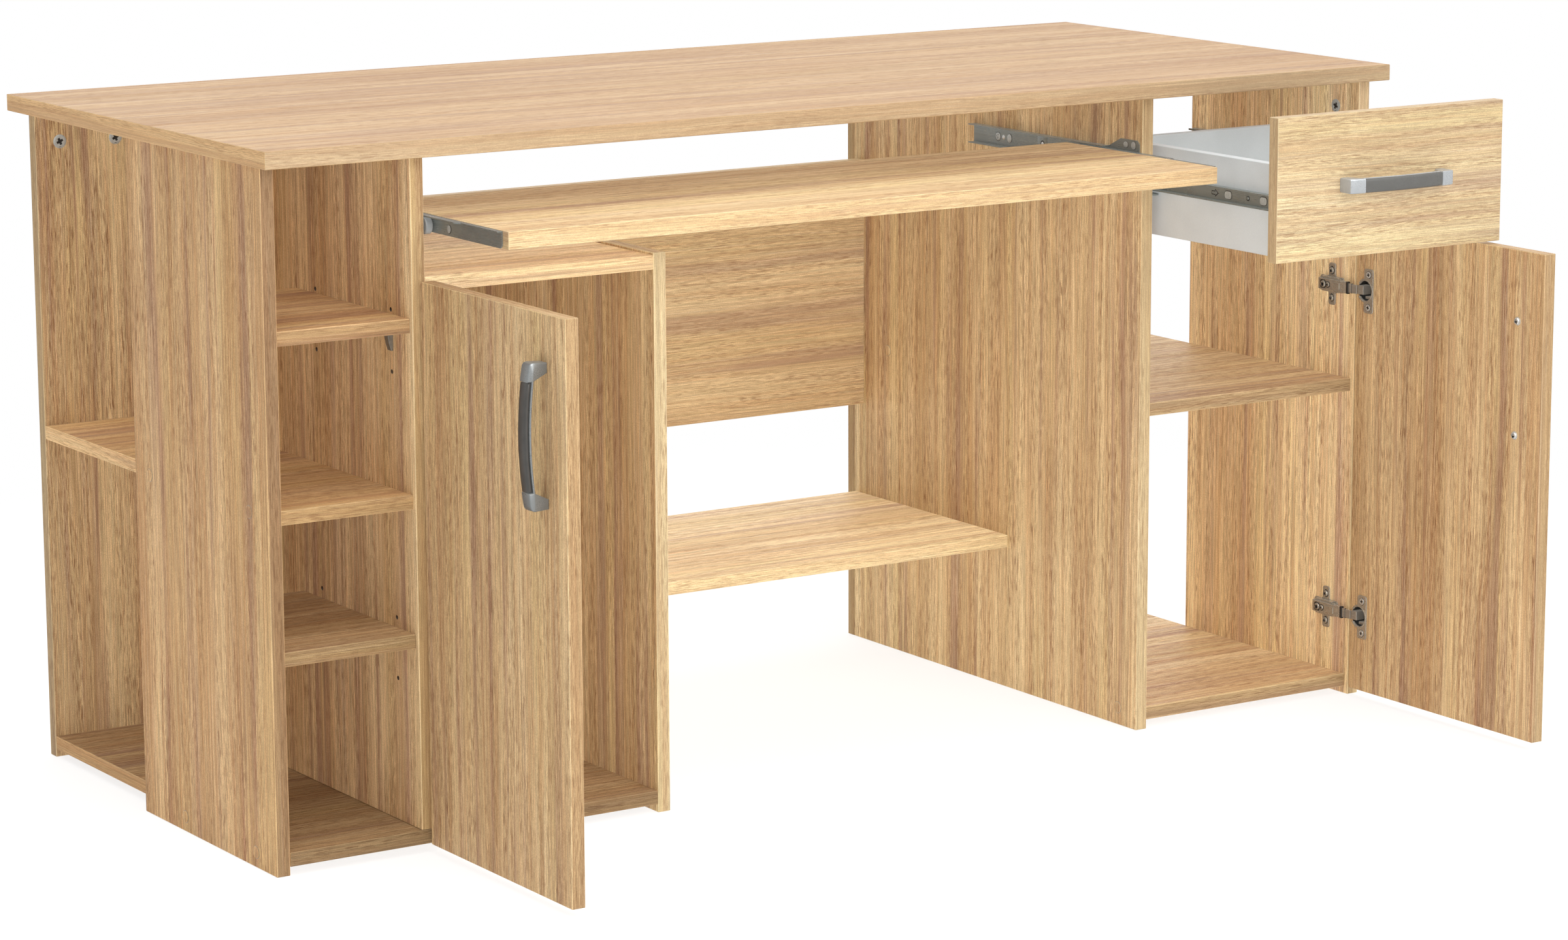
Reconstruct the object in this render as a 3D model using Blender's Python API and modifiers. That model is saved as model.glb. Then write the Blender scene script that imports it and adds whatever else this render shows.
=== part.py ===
"""Computer desk with a bookcase, a cabinet, a drawer, a cupboard and a pull-out keyboard tray.

Sizes are in millimetres, in a frame that starts at the left front foot: X to the right, Y to the back
and Z up. The desk is then moved so that its origin is at the bottom centre of its bounding box, with
the doors, the drawer and the tray at rest in their opened places.
"""
import math

import bmesh
import bpy
from mathutils import Matrix, Vector

MM = 0.001

# Boards
BOARD = 15.0
TOP_THICK = 18.0
TRAY_THICK = 18.0
BOARD_EDGE = 0.8
BUTT_GAP = 0.3

# Overall heights and depths
HEIGHT = 740.0
MAIN_DEPTH = 572.6
SIDE_DEPTH = 308.5
TOP_OVER_SIDE = 7.0
TOP_OVER_FRONT = 27.0
TOP_OVER_BACK = 6.4

# Clear widths between the uprights, from left to right
BOOKCASE_W = 151.5
CABINET_W = 269.1
KNEE_W = 619.8
PEDESTAL_W = 295.2

# Levels of the fixed boards, at their undersides
BOTTOM_Z = 9.0
MIDDLE_Z = 360.0
SHELF_UPPER_UP = 166.0
SHELF_LOWER_UP = 191.0
CABINET_TOP_BELOW = 139.5
INNER_SIDE_ABOVE = 2.5
MODESTY_BELOW = 5.0
MODESTY_H = 300.0
FOOT_SHELF_Z = 168.5

# Depths of the fixed boards
SHELF_SETBACK = 5.0
BOOKCASE_DEPTH = 254.0
BACK_SET_IN = 5.0
BACK_THICK = 3.0
MODESTY_FROM_BACK = 21.0
FOOT_SHELF_DEPTH = 318.1
FOOT_SHELF_FROM_BACK = 4.1

# Shelf pin holes, in two columns on each side of the bookcase
PIN_R = 2.5
PIN_DEPTH = 9.0
PIN_PITCH = 32.0
PIN_FROM_FRONT = 46.0
PIN_FROM_BACK = 41.5
PIN_UNDER_UPPER = 13.0
PIN_UNDER_LOWER = 7.0

# Doors
FRONT_GAP = 3.0
DOOR_OPEN_DEG = 90.0
LEFT_DOOR_Z = 9.0
LEFT_DOOR_OVERLAY = 6.5
LEFT_DOOR_FREE_OVERLAY = 10.4
LEFT_DOOR_TOP_GAP = 3.5
RIGHT_DOOR_Z = 10.0
RIGHT_DOOR_OVERLAY = 14.9
RIGHT_DOOR_FREE_OVERLAY = 6.9
RIGHT_DOOR_TOP_GAP = 3.0
LEFT_AXIS_IN = 7.0
LEFT_AXIS_DEEP = 8.0
RIGHT_AXIS_IN = 8.0
RIGHT_AXIS_DEEP = 10.3

# Concealed hinges
LEFT_HINGE_UP = 89.0
LEFT_HINGE_DOWN = 79.0
RIGHT_HINGE_UP = 88.0
RIGHT_HINGE_DOWN = 78.0
PLATE_THICK = 1.4
PLATE_SET_BACK = 40.0
PLATE_H = 49.0
PLATE_L = 42.0
WING_W = 12.0
ARM_H = 15.0
LINK_H = 11.0
LINK_THICK = 2.0
LINK_REACH = 10.0
BLOCK_H = 6.0
LEFT_LINK_OFF = 9.8
RIGHT_LINK_OFF = 4.6
CUP_R = 13.0
CUP_WALL = 0.8
CUP_DEEP = 11.0
CUP_IN = 17.5
CUP_LIP_R = 11.6
CUP_MOUTH_DEG = 143.0
CUP_RING_R = 14.0
FLANGE_THICK = 1.2
FLANGE_H = 51.5
FLANGE_NEAR = 15.5
FLANGE_FAR = 31.5

# Handles
HANDLE_PITCH = 128.0
HANDLE_HALF = 73.0
HANDLE_W = 16.0
HANDLE_FOOT = 10.0
HANDLE_END_OUT = 19.5
HANDLE_MID_OUT = 26.0
HANDLE_THICK = 7.5
HANDLE_END_L = 19.0
GRIP_THICK = 4.6
GRIP_W = 15.4
HANDLE_FROM_EDGE = 42.0
LEFT_HANDLE_DOWN = 119.0
RIGHT_HANDLE_DOWN = 143.0
DRAWER_HANDLE_UP = 79.0

# Drawer
DRAWER_OUT = 209.0
DRAWER_FRONT_H = 157.0
DRAWER_TOP_GAP = 3.0
DRAWER_SIDE_GAP = 12.7
DRAWER_WALL = 12.0
DRAWER_BOX_UP = 2.5
DRAWER_BOX_H = 100.5
DRAWER_BOX_L = 305.7
DRAWER_BASE_THICK = 3.0
DRAWER_BASE_UP = 9.5
GROOVE_DEEP = 6.0

# Drawer slides
SLIDE_UP = 59.1
SLIDE_L = 300.0
SLIDE_SHEET = 1.2
OUTER_H = 27.0
OUTER_REACH = 9.5
INNER_H = 17.0
INNER_REACH = 8.2
INNER_HOLES = ((29.0, 4.0), (54.0, 2.2), (90.0, 4.0), (112.0, 3.0))
BALL_R = 1.6
CAGE_SHEET = 0.8
CAGE_L = 70.0
CAGE_REST_Y = 12.0
BALLS_PER_ROW = 5

# Keyboard tray and its roller slides
TRAY_OUT = 150.0
TRAY_BELOW = 80.0
TRAY_DEPTH = 274.0
TRAY_SIDE_GAP = 12.5
RAIL_SHEET = 1.2
RAIL_L = 316.0
RAIL_Y = 4.0
RAIL_H = 22.2
RAIL_UNDER_TRAY = 2.2
RAIL_REACH = 10.1
TAB_H = 32.2
TAB_L = 34.0
TAB_SLOPE_END = 60.0
LOWER_FLANGE_Y = 18.0
RAIL_SCREW_Y = 120.0
RAIL_HOLE_Y = 250.0
FRONT_ROLLER_R = 9.0
FRONT_ROLLER_Y = 6.7
FRONT_ROLLER_UP = 9.2
REAR_ROLLER_R = 8.5
REAR_ROLLER_FROM_BACK = 10.0
ROLLER_GAP = 0.3
AXLE_R = 3.0
AXLE_HEAD_R = 4.4
AXLE_HEAD_L = 0.7
BORE_GAP = 0.05
RUNNER_FRONT = 11.0
RUNNER_NARROW_L = 73.0

# Finishes: colour, roughness, metallic
FINISHES = {
    "oak_board": ((0.66, 0.42, 0.19), 0.45, 0.0),
    "grey_board": ((0.72, 0.73, 0.75), 0.5, 0.0),
    "zinc_steel": ((0.46, 0.47, 0.48), 0.35, 0.9),
    "nickel": ((0.52, 0.48, 0.42), 0.3, 0.95),
    "satin_silver": ((0.47, 0.48, 0.49), 0.4, 0.6),
    "dark_grip": ((0.07, 0.068, 0.062), 0.5, 0.1),
    "roller": ((0.12, 0.12, 0.12), 0.55, 0.0),
}

# Places of the uprights
LEFT_X = 0.0
DIVIDER_X = LEFT_X + BOARD + BOOKCASE_W
INNER_X = DIVIDER_X + BOARD + CABINET_W
CENTRE_X = INNER_X + BOARD + KNEE_W
RIGHT_X = CENTRE_X + BOARD + PEDESTAL_W
END_X = RIGHT_X + BOARD
UNDER_TOP = HEIGHT - TOP_THICK
BACK_Y = MAIN_DEPTH + BOARD

# Levels and depths of the boards between them
SHELF_UPPER_Z = MIDDLE_Z + BOARD + SHELF_UPPER_UP
SHELF_LOWER_Z = BOTTOM_Z + BOARD + SHELF_LOWER_UP
CABINET_TOP_Z = UNDER_TOP - CABINET_TOP_BELOW
INNER_SIDE_TOP = CABINET_TOP_Z + BOARD + INNER_SIDE_ABOVE
MODESTY_Z = INNER_SIDE_TOP - MODESTY_BELOW - MODESTY_H
FOOT_SHELF_BACK = MAIN_DEPTH - FOOT_SHELF_FROM_BACK
FOOT_SHELF_FRONT = FOOT_SHELF_BACK - FOOT_SHELF_DEPTH
PIN_FRONT_Y = PIN_FROM_FRONT
PIN_BACK_Y = BOOKCASE_DEPTH - PIN_FROM_BACK
PIN_UPPER_Z = SHELF_UPPER_Z - PIN_UNDER_UPPER
PIN_LOWER_Z = SHELF_LOWER_Z - PIN_UNDER_LOWER

# Levels of the drawer, the tray and their slides
DRAWER_FRONT_Z = UNDER_TOP - DRAWER_TOP_GAP - DRAWER_FRONT_H
DRAWER_HANDLE_Z = DRAWER_FRONT_Z + DRAWER_HANDLE_UP
DRAWER_BOX_Z = DRAWER_FRONT_Z + DRAWER_BOX_UP
SLIDE_Z = DRAWER_BOX_Z + SLIDE_UP
TRAY_Z = UNDER_TOP - TRAY_BELOW
RAIL_Z = TRAY_Z - RAIL_UNDER_TRAY
TAB_TOP_Z = RAIL_Z + TAB_H
FRONT_ROLLER_Z = RAIL_Z + FRONT_ROLLER_UP

# Sizes of the doors, with their hinges and handles
LEFT_DOOR_W = LEFT_DOOR_OVERLAY + CABINET_W + LEFT_DOOR_FREE_OVERLAY
LEFT_DOOR_TOP = CABINET_TOP_Z + BOARD - LEFT_DOOR_TOP_GAP
LEFT_DOOR_H = LEFT_DOOR_TOP - LEFT_DOOR_Z
LEFT_HINGE_Z = (LEFT_DOOR_Z + LEFT_HINGE_UP, LEFT_DOOR_TOP - LEFT_HINGE_DOWN)
LEFT_HANDLE_Z = LEFT_DOOR_TOP - LEFT_HANDLE_DOWN
RIGHT_DOOR_W = RIGHT_DOOR_OVERLAY + PEDESTAL_W + RIGHT_DOOR_FREE_OVERLAY
RIGHT_DOOR_TOP = DRAWER_FRONT_Z - RIGHT_DOOR_TOP_GAP
RIGHT_DOOR_H = RIGHT_DOOR_TOP - RIGHT_DOOR_Z
RIGHT_HINGE_Z = (RIGHT_DOOR_Z + RIGHT_HINGE_UP, RIGHT_DOOR_TOP - RIGHT_HINGE_DOWN)
RIGHT_HANDLE_Z = RIGHT_DOOR_TOP - RIGHT_HANDLE_DOWN
GRIP_HALF = HANDLE_HALF - HANDLE_END_L

# Places of the doors and their upright axes, closed
DOOR_IN_Y = -FRONT_GAP
DOOR_OUT_Y = -FRONT_GAP - BOARD
LEFT_DOOR_X = DIVIDER_X + BOARD - LEFT_DOOR_OVERLAY
RIGHT_DOOR_X = RIGHT_X + RIGHT_DOOR_OVERLAY
LEFT_AXIS = Vector((LEFT_DOOR_X + LEFT_AXIS_IN, DOOR_IN_Y - LEFT_AXIS_DEEP, 0.0))
RIGHT_AXIS = Vector((RIGHT_DOOR_X - RIGHT_AXIS_IN, DOOR_IN_Y - RIGHT_AXIS_DEEP, 0.0))

# Drawer and tray, closed
DRAWER_LEFT = CENTRE_X + BOARD + DRAWER_SIDE_GAP
DRAWER_RIGHT = RIGHT_X - DRAWER_SIDE_GAP
TRAY_LEFT = DIVIDER_X + BOARD + TRAY_SIDE_GAP
TRAY_RIGHT = CENTRE_X - TRAY_SIDE_GAP
CAGE_OUT = DRAWER_OUT / 2

# Origin of the desk: bottom centre of its bounding box at rest
REST_MIN_X = LEFT_X - TOP_OVER_SIDE
REST_MAX_X = RIGHT_AXIS.x + BOARD - RIGHT_AXIS_DEEP + HANDLE_MID_OUT
REST_MIN_Y = RIGHT_AXIS.y - (RIGHT_DOOR_W - RIGHT_AXIS_IN)
REST_MAX_Y = BACK_Y + TOP_OVER_BACK
ORIGIN = Vector(((REST_MIN_X + REST_MAX_X) / 2, (REST_MIN_Y + REST_MAX_Y) / 2, 0.0))

for leftover in list(bpy.data.objects):
    bpy.data.objects.remove(leftover, do_unlink=True)

DESK = bpy.data.collections.new("computer_desk")
bpy.context.scene.collection.children.link(DESK)
CUTTERS = bpy.data.collections.new("cutters")
bpy.context.scene.collection.children.link(CUTTERS)


def pivot(name, parent, closed, moved=(0.0, 0.0, 0.0), turn_deg=0.0):
    """Empty on a joint axis. Its pieces are built closed, and it carries them to their rest place."""
    empty = bpy.data.objects.new(name, None)
    DESK.objects.link(empty)
    empty.parent = parent
    empty["closed"] = list(closed)
    start = Vector(parent["closed"]) if parent else Vector((0.0, 0.0, 0.0))
    empty.location = (Vector(closed) - start + Vector(moved)) * MM
    empty.rotation_euler = (0.0, 0.0, math.radians(turn_deg))
    return empty


def clean(mesh):
    """Weld the seams of a closed shape and turn its faces outwards."""
    bm = bmesh.new()
    bm.from_mesh(mesh)
    bmesh.ops.remove_doubles(bm, verts=bm.verts, dist=1e-6)
    bmesh.ops.recalc_face_normals(bm, faces=bm.faces)
    bm.to_mesh(mesh)
    bm.free()
    return mesh


def evaluated(obj):
    """Closed mesh of an object as its curve settings or modifiers make it."""
    bpy.context.scene.collection.objects.link(obj)
    depsgraph = bpy.context.evaluated_depsgraph_get()
    mesh = bpy.data.meshes.new_from_object(obj.evaluated_get(depsgraph))
    bpy.data.objects.remove(obj, do_unlink=True)
    return clean(mesh)


def box(x, y, z):
    """Block between two limits on each axis."""
    bm = bmesh.new()
    bmesh.ops.create_cube(bm, size=1.0)
    size = Vector((x[1] - x[0], y[1] - y[0], z[1] - z[0])) * MM
    middle = Vector((x[0] + x[1], y[0] + y[1], z[0] + z[1])) * MM / 2
    bmesh.ops.scale(bm, vec=size, verts=bm.verts)
    bmesh.ops.translate(bm, vec=middle, verts=bm.verts)
    mesh = bpy.data.meshes.new("block")
    bm.to_mesh(mesh)
    bm.free()
    return mesh


def rounded(points, radius, steps=4):
    """Outline with each corner rounded off."""
    result = []
    count = len(points)
    for index, corner in enumerate(points):
        here = Vector(corner)
        before = Vector(points[index - 1]) - here
        after = Vector(points[(index + 1) % count]) - here
        start = here + before.normalized() * min(radius, before.length * 0.45)
        end = here + after.normalized() * min(radius, after.length * 0.45)
        for step in range(steps + 1):
            t = step / steps
            point = start * (1 - t) ** 2 + here * 2 * t * (1 - t) + end * t ** 2
            result.append((point.x, point.y))
    return result


def arc(centre, radius, start_deg, end_deg, steps):
    """Points on a circle between two angles."""
    points = []
    for step in range(steps + 1):
        angle = math.radians(start_deg + (end_deg - start_deg) * step / steps)
        points.append((centre[0] + radius * math.cos(angle), centre[1] + radius * math.sin(angle)))
    return points


def plate(outlines, low, high, axes):
    """Flat outline, with any further outlines as holes, between two limits on the third axis."""
    curve = bpy.data.curves.new("outline", "CURVE")
    curve.dimensions = "2D"
    curve.fill_mode = "BOTH"
    curve.extrude = (high - low) * MM / 2
    for points in outlines:
        spline = curve.splines.new("POLY")
        spline.points.add(len(points) - 1)
        spline.use_cyclic_u = True
        for target, point in zip(spline.points, points):
            target.co = (point[0] * MM, point[1] * MM, 0.0, 1.0)
    mesh = evaluated(bpy.data.objects.new("outline", curve))
    turn = Matrix.Diagonal((0.0, 0.0, 0.0, 1.0))
    for column, axis in enumerate(axes):
        turn["xyz".index(axis)][column] = 1.0
    turn["xyz".index(axes[2])][3] = (low + high) * MM / 2
    mesh.transform(turn)
    return clean(mesh)


def turned(profile, centre, axis, steps=28):
    """Profile of radius and distance along the axis, turned all the way round."""
    mesh = bpy.data.meshes.new("profile")
    points = [(radius * MM, 0.0, along * MM) for radius, along in profile]
    edges = [(index, index + 1) for index in range(len(points) - 1)]
    if profile[0][0] > 0.0:
        edges.append((len(points) - 1, 0))
    mesh.from_pydata(points, edges, [])
    obj = bpy.data.objects.new("profile", mesh)
    screw = obj.modifiers.new("turn", "SCREW")
    screw.axis = "Z"
    screw.angle = math.radians(360.0)
    screw.steps = steps
    screw.render_steps = steps
    screw.use_merge_vertices = True
    screw.merge_threshold = 0.00001
    solid = evaluated(obj)
    direction = Vector(axis).to_track_quat("Z", "Y").to_matrix().to_4x4()
    solid.transform(Matrix.Translation(Vector(centre) * MM) @ direction)
    return solid


def rods(places, axis, radius, length, segments=16):
    """Round bars that start at each place and run along the axis."""
    bm = bmesh.new()
    direction = Vector(axis).to_track_quat("Z", "Y").to_matrix().to_4x4()
    for place in places:
        middle = (Vector(place) + Vector(axis).normalized() * length / 2) * MM
        bmesh.ops.create_cone(
            bm, cap_ends=True, segments=segments, radius1=radius * MM, radius2=radius * MM,
            depth=length * MM, matrix=Matrix.Translation(middle) @ direction)
    mesh = bpy.data.meshes.new("rods")
    bm.to_mesh(mesh)
    bm.free()
    return clean(mesh)


def balls(places, radius):
    """Small balls at each place."""
    bm = bmesh.new()
    for place in places:
        bmesh.ops.create_icosphere(
            bm, subdivisions=2, radius=radius * MM, matrix=Matrix.Translation(Vector(place) * MM))
    mesh = bpy.data.meshes.new("balls")
    bm.to_mesh(mesh)
    bm.free()
    return mesh


def put(obj, group):
    """Hang a piece on a pivot, with its origin on the pivot."""
    obj.data.transform(Matrix.Translation(-Vector(group["closed"]) * MM))
    obj.parent = group
    return obj


def node(name, mesh, finish, group, edge=0.0, segments=2):
    """One named piece with its own material and softened edges."""
    colour, roughness, metallic = FINISHES[finish]
    material = bpy.data.materials.new(name + "_" + finish)
    material.use_nodes = True
    shader = material.node_tree.nodes["Principled BSDF"]
    shader.inputs["Base Color"].default_value = (*colour, 1.0)
    shader.inputs["Roughness"].default_value = roughness
    shader.inputs["Metallic"].default_value = metallic
    obj = bpy.data.objects.new(name, mesh)
    mesh.materials.clear()
    mesh.materials.append(material)
    DESK.objects.link(obj)
    put(obj, group)
    if edge > 0.0:
        bevel = obj.modifiers.new("edge", "BEVEL")
        bevel.width = edge * MM
        bevel.segments = segments
        bevel.limit_method = "ANGLE"
        bevel.angle_limit = math.radians(40.0)
    return obj


def combine(obj, meshes, group, operation):
    """Cut shapes out of a piece, or join them to it, all in one step."""
    kit = bpy.data.collections.new(obj.name + "_" + operation.lower())
    CUTTERS.children.link(kit)
    for mesh in meshes:
        tool = bpy.data.objects.new(kit.name, mesh)
        kit.objects.link(tool)
        tool.hide_render = True
        tool.display_type = "WIRE"
        put(tool, group)
    boolean = obj.modifiers.new(operation.lower(), "BOOLEAN")
    boolean.operation = operation
    boolean.solver = "EXACT"
    boolean.operand_type = "COLLECTION"
    boolean.collection = kit


def cut(obj, meshes, group):
    """Cut shapes out of a piece."""
    combine(obj, meshes, group, "DIFFERENCE")


def join(obj, meshes, group):
    """Join shapes to a piece."""
    combine(obj, meshes, group, "UNION")


def board(name, x, y, z, group, finish="oak_board"):
    """Rectangular board with softened edges."""
    return node(name, box(x, y, z), finish, group, BOARD_EDGE)


def between(left, right):
    """Limits of a board that butts against an upright at both ends."""
    return (left + BUTT_GAP, right - BUTT_GAP)


# Pivots
ROOT = pivot("desk", None, (0.0, 0.0, 0.0), -ORIGIN)
LEFT_DOOR = pivot("left_door_axis", ROOT, LEFT_AXIS, turn_deg=-DOOR_OPEN_DEG)
RIGHT_DOOR = pivot("right_door_axis", ROOT, RIGHT_AXIS, turn_deg=DOOR_OPEN_DEG)
DRAWER = pivot("drawer_slide", ROOT, (DRAWER_LEFT, 0.0, SLIDE_Z), (0.0, -DRAWER_OUT, 0.0))
CAGES = pivot("drawer_cage_slide", ROOT, (DRAWER_LEFT, 0.0, SLIDE_Z), (0.0, -CAGE_OUT, 0.0))
TRAY = pivot("tray_slide", ROOT, (TRAY_LEFT, 0.0, TRAY_Z), (0.0, -TRAY_OUT, 0.0))
REAR_ROLLER_Y = TRAY_DEPTH - REAR_ROLLER_FROM_BACK
REAR_ROLLER_Z = RAIL_Z + RAIL_SHEET + ROLLER_GAP + REAR_ROLLER_R
FRONT_ROLLERS = pivot("front_roller_axis", ROOT, (TRAY_LEFT, FRONT_ROLLER_Y, FRONT_ROLLER_Z))
REAR_ROLLERS = pivot("rear_roller_axis", TRAY, (TRAY_LEFT, REAR_ROLLER_Y, REAR_ROLLER_Z))

# Top and uprights
board("desk_top", (LEFT_X - TOP_OVER_SIDE, END_X + TOP_OVER_SIDE), (-TOP_OVER_FRONT, BACK_Y + TOP_OVER_BACK),
      (UNDER_TOP, HEIGHT), ROOT)
FULL_HEIGHT = (0.0, UNDER_TOP - BUTT_GAP)
FULL_DEPTH = (0.0, MAIN_DEPTH - BUTT_GAP)
left_side = board("left_side_panel", (LEFT_X, LEFT_X + BOARD), (0.0, SIDE_DEPTH), FULL_HEIGHT, ROOT)
divider = board("left_divider", (DIVIDER_X, DIVIDER_X + BOARD), FULL_DEPTH,
                between(BOTTOM_Z + BOARD, UNDER_TOP), ROOT)
board("cabinet_inner_side", (INNER_X, INNER_X + BOARD), FULL_DEPTH, (0.0, INNER_SIDE_TOP), ROOT)
board("centre_right_panel", (CENTRE_X, CENTRE_X + BOARD), FULL_DEPTH, FULL_HEIGHT, ROOT)
board("right_side_panel", (RIGHT_X, END_X), (0.0, SIDE_DEPTH), FULL_HEIGHT, ROOT)
board("left_rear_panel", (LEFT_X + BOARD, INNER_X + BOARD), (MAIN_DEPTH, BACK_Y), FULL_HEIGHT, ROOT)
board("right_rear_panel", (CENTRE_X, RIGHT_X), (MAIN_DEPTH, BACK_Y), FULL_HEIGHT, ROOT)

# Boards between the uprights
BOOKCASE_X = between(LEFT_X + BOARD, DIVIDER_X)
PEDESTAL_X = between(CENTRE_X + BOARD, RIGHT_X)
SET_BACK_DEPTH = (SHELF_SETBACK, MAIN_DEPTH - BUTT_GAP)
SHELF_DEPTH = (SHELF_SETBACK, BOOKCASE_DEPTH - BUTT_GAP)
BACK_Y_LOW = SIDE_DEPTH - BACK_SET_IN
BACK_BOARD = (BACK_Y_LOW, BACK_Y_LOW + BACK_THICK)
board("left_bottom_board", between(LEFT_X + BOARD, INNER_X), FULL_DEPTH, (BOTTOM_Z, BOTTOM_Z + BOARD), ROOT)
board("left_middle_shelf", BOOKCASE_X, SET_BACK_DEPTH, (MIDDLE_Z, MIDDLE_Z + BOARD), ROOT)
board("bookcase_back_upper", BOOKCASE_X, BACK_BOARD, between(MIDDLE_Z + BOARD, UNDER_TOP), ROOT)
board("bookcase_back_lower", BOOKCASE_X, BACK_BOARD, between(BOTTOM_Z + BOARD, MIDDLE_Z), ROOT)
board("bookcase_shelf_upper", BOOKCASE_X, SHELF_DEPTH, (SHELF_UPPER_Z, SHELF_UPPER_Z + BOARD), ROOT)
board("bookcase_shelf_lower", BOOKCASE_X, SHELF_DEPTH, (SHELF_LOWER_Z, SHELF_LOWER_Z + BOARD), ROOT)
board("cabinet_top", between(DIVIDER_X + BOARD, INNER_X), FULL_DEPTH,
      (CABINET_TOP_Z, CABINET_TOP_Z + BOARD), ROOT)
KNEE_X = between(INNER_X + BOARD, CENTRE_X)
MODESTY_Y = MAIN_DEPTH - MODESTY_FROM_BACK
board("modesty_panel", KNEE_X, (MODESTY_Y, MODESTY_Y + BOARD), (MODESTY_Z, MODESTY_Z + MODESTY_H), ROOT)
board("foot_shelf", KNEE_X, (FOOT_SHELF_FRONT, FOOT_SHELF_BACK), (FOOT_SHELF_Z, FOOT_SHELF_Z + BOARD), ROOT)
board("right_bottom_board", PEDESTAL_X, SET_BACK_DEPTH, (BOTTOM_Z, BOTTOM_Z + BOARD), ROOT)
board("right_middle_shelf", PEDESTAL_X, SET_BACK_DEPTH, (MIDDLE_Z, MIDDLE_Z + BOARD), ROOT)

# Shelf pin holes, in threes about each adjustable shelf
PIN_OVERRUN = 1.0
pin_places = []
for pin_z in (PIN_LOWER_Z, PIN_UPPER_Z):
    for step in (-1, 0, 1):
        for pin_y in (PIN_FRONT_Y, PIN_BACK_Y):
            pin_places.append((pin_y, pin_z + step * PIN_PITCH))
left_holes = [(LEFT_X + BOARD + PIN_OVERRUN, y, z) for y, z in pin_places]
right_holes = [(DIVIDER_X - PIN_OVERRUN, y, z) for y, z in pin_places]
cut(left_side, [rods(left_holes, (-1, 0, 0), PIN_R, PIN_DEPTH + PIN_OVERRUN, 12)], ROOT)
cut(divider, [rods(right_holes, (1, 0, 0), PIN_R, PIN_DEPTH + PIN_OVERRUN, 12)], ROOT)


def bow(along):
    """How far the handle's outer face stands out, at a distance from its middle."""
    return HANDLE_MID_OUT - (HANDLE_MID_OUT - HANDLE_END_OUT) * (along / HANDLE_HALF) ** 2


def handle(name, group, centre, across, upright):
    """Bow handle with silver ends and back strip, and a dark grip let into its face."""
    strip_out = GRIP_THICK + BUTT_GAP
    steps = [GRIP_HALF * (index / 12.0 * 2 - 1) for index in range(13)]
    seat = GRIP_HALF + BUTT_GAP
    foot_out = HANDLE_PITCH / 2 + HANDLE_FOOT * 0.8
    foot_in = foot_out - HANDLE_FOOT
    back_end = foot_in - 7.0
    shape = [(-HANDLE_HALF, HANDLE_END_OUT), (-(HANDLE_HALF + seat) / 2, bow((HANDLE_HALF + seat) / 2))]
    shape += [(-seat, bow(seat)), (-seat, bow(seat) - strip_out)]
    shape += [(along, bow(along) - strip_out) for along in steps[1:-1]]
    shape += [(seat, bow(seat) - strip_out), (seat, bow(seat))]
    shape += [((HANDLE_HALF + seat) / 2, bow((HANDLE_HALF + seat) / 2)), (HANDLE_HALF, HANDLE_END_OUT)]
    shape += [(foot_out, BUTT_GAP), (foot_in, BUTT_GAP)]
    shape += [(along * back_end / GRIP_HALF, bow(along) - HANDLE_THICK) for along in reversed(steps)]
    shape += [(-foot_in, BUTT_GAP), (-foot_out, BUTT_GAP)]
    grip = [(along, bow(along)) for along in steps]
    grip += [(along, bow(along) - GRIP_THICK) for along in reversed(steps)]
    axes = "zyx" if upright else "xyz"
    body_points = [(centre + along, DOOR_OUT_Y - out) for along, out in shape]
    grip_points = [(centre + along, DOOR_OUT_Y - out) for along, out in grip]
    body = plate([body_points], across - HANDLE_W / 2, across + HANDLE_W / 2, axes)
    cover = plate([grip_points], across - GRIP_W / 2, across + GRIP_W / 2, axes)
    node(name + "_handle", body, "satin_silver", group, 0.6)
    node(name + "_handle_grip", cover, "dark_grip", group, 1.4, 3)


# Doors
DOOR_Y = (DOOR_OUT_Y, DOOR_IN_Y)
left_door = board("left_door", (LEFT_DOOR_X, LEFT_DOOR_X + LEFT_DOOR_W), DOOR_Y,
                  (LEFT_DOOR_Z, LEFT_DOOR_Z + LEFT_DOOR_H), LEFT_DOOR)
right_door = board("right_door", (RIGHT_DOOR_X - RIGHT_DOOR_W, RIGHT_DOOR_X), DOOR_Y,
                   (RIGHT_DOOR_Z, RIGHT_DOOR_Z + RIGHT_DOOR_H), RIGHT_DOOR)
handle("left_door", LEFT_DOOR, LEFT_HANDLE_Z, LEFT_DOOR_X + LEFT_DOOR_W - HANDLE_FROM_EDGE, True)
handle("right_door", RIGHT_DOOR, RIGHT_HANDLE_Z, RIGHT_DOOR_X - RIGHT_DOOR_W + HANDLE_FROM_EDGE, True)


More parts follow.
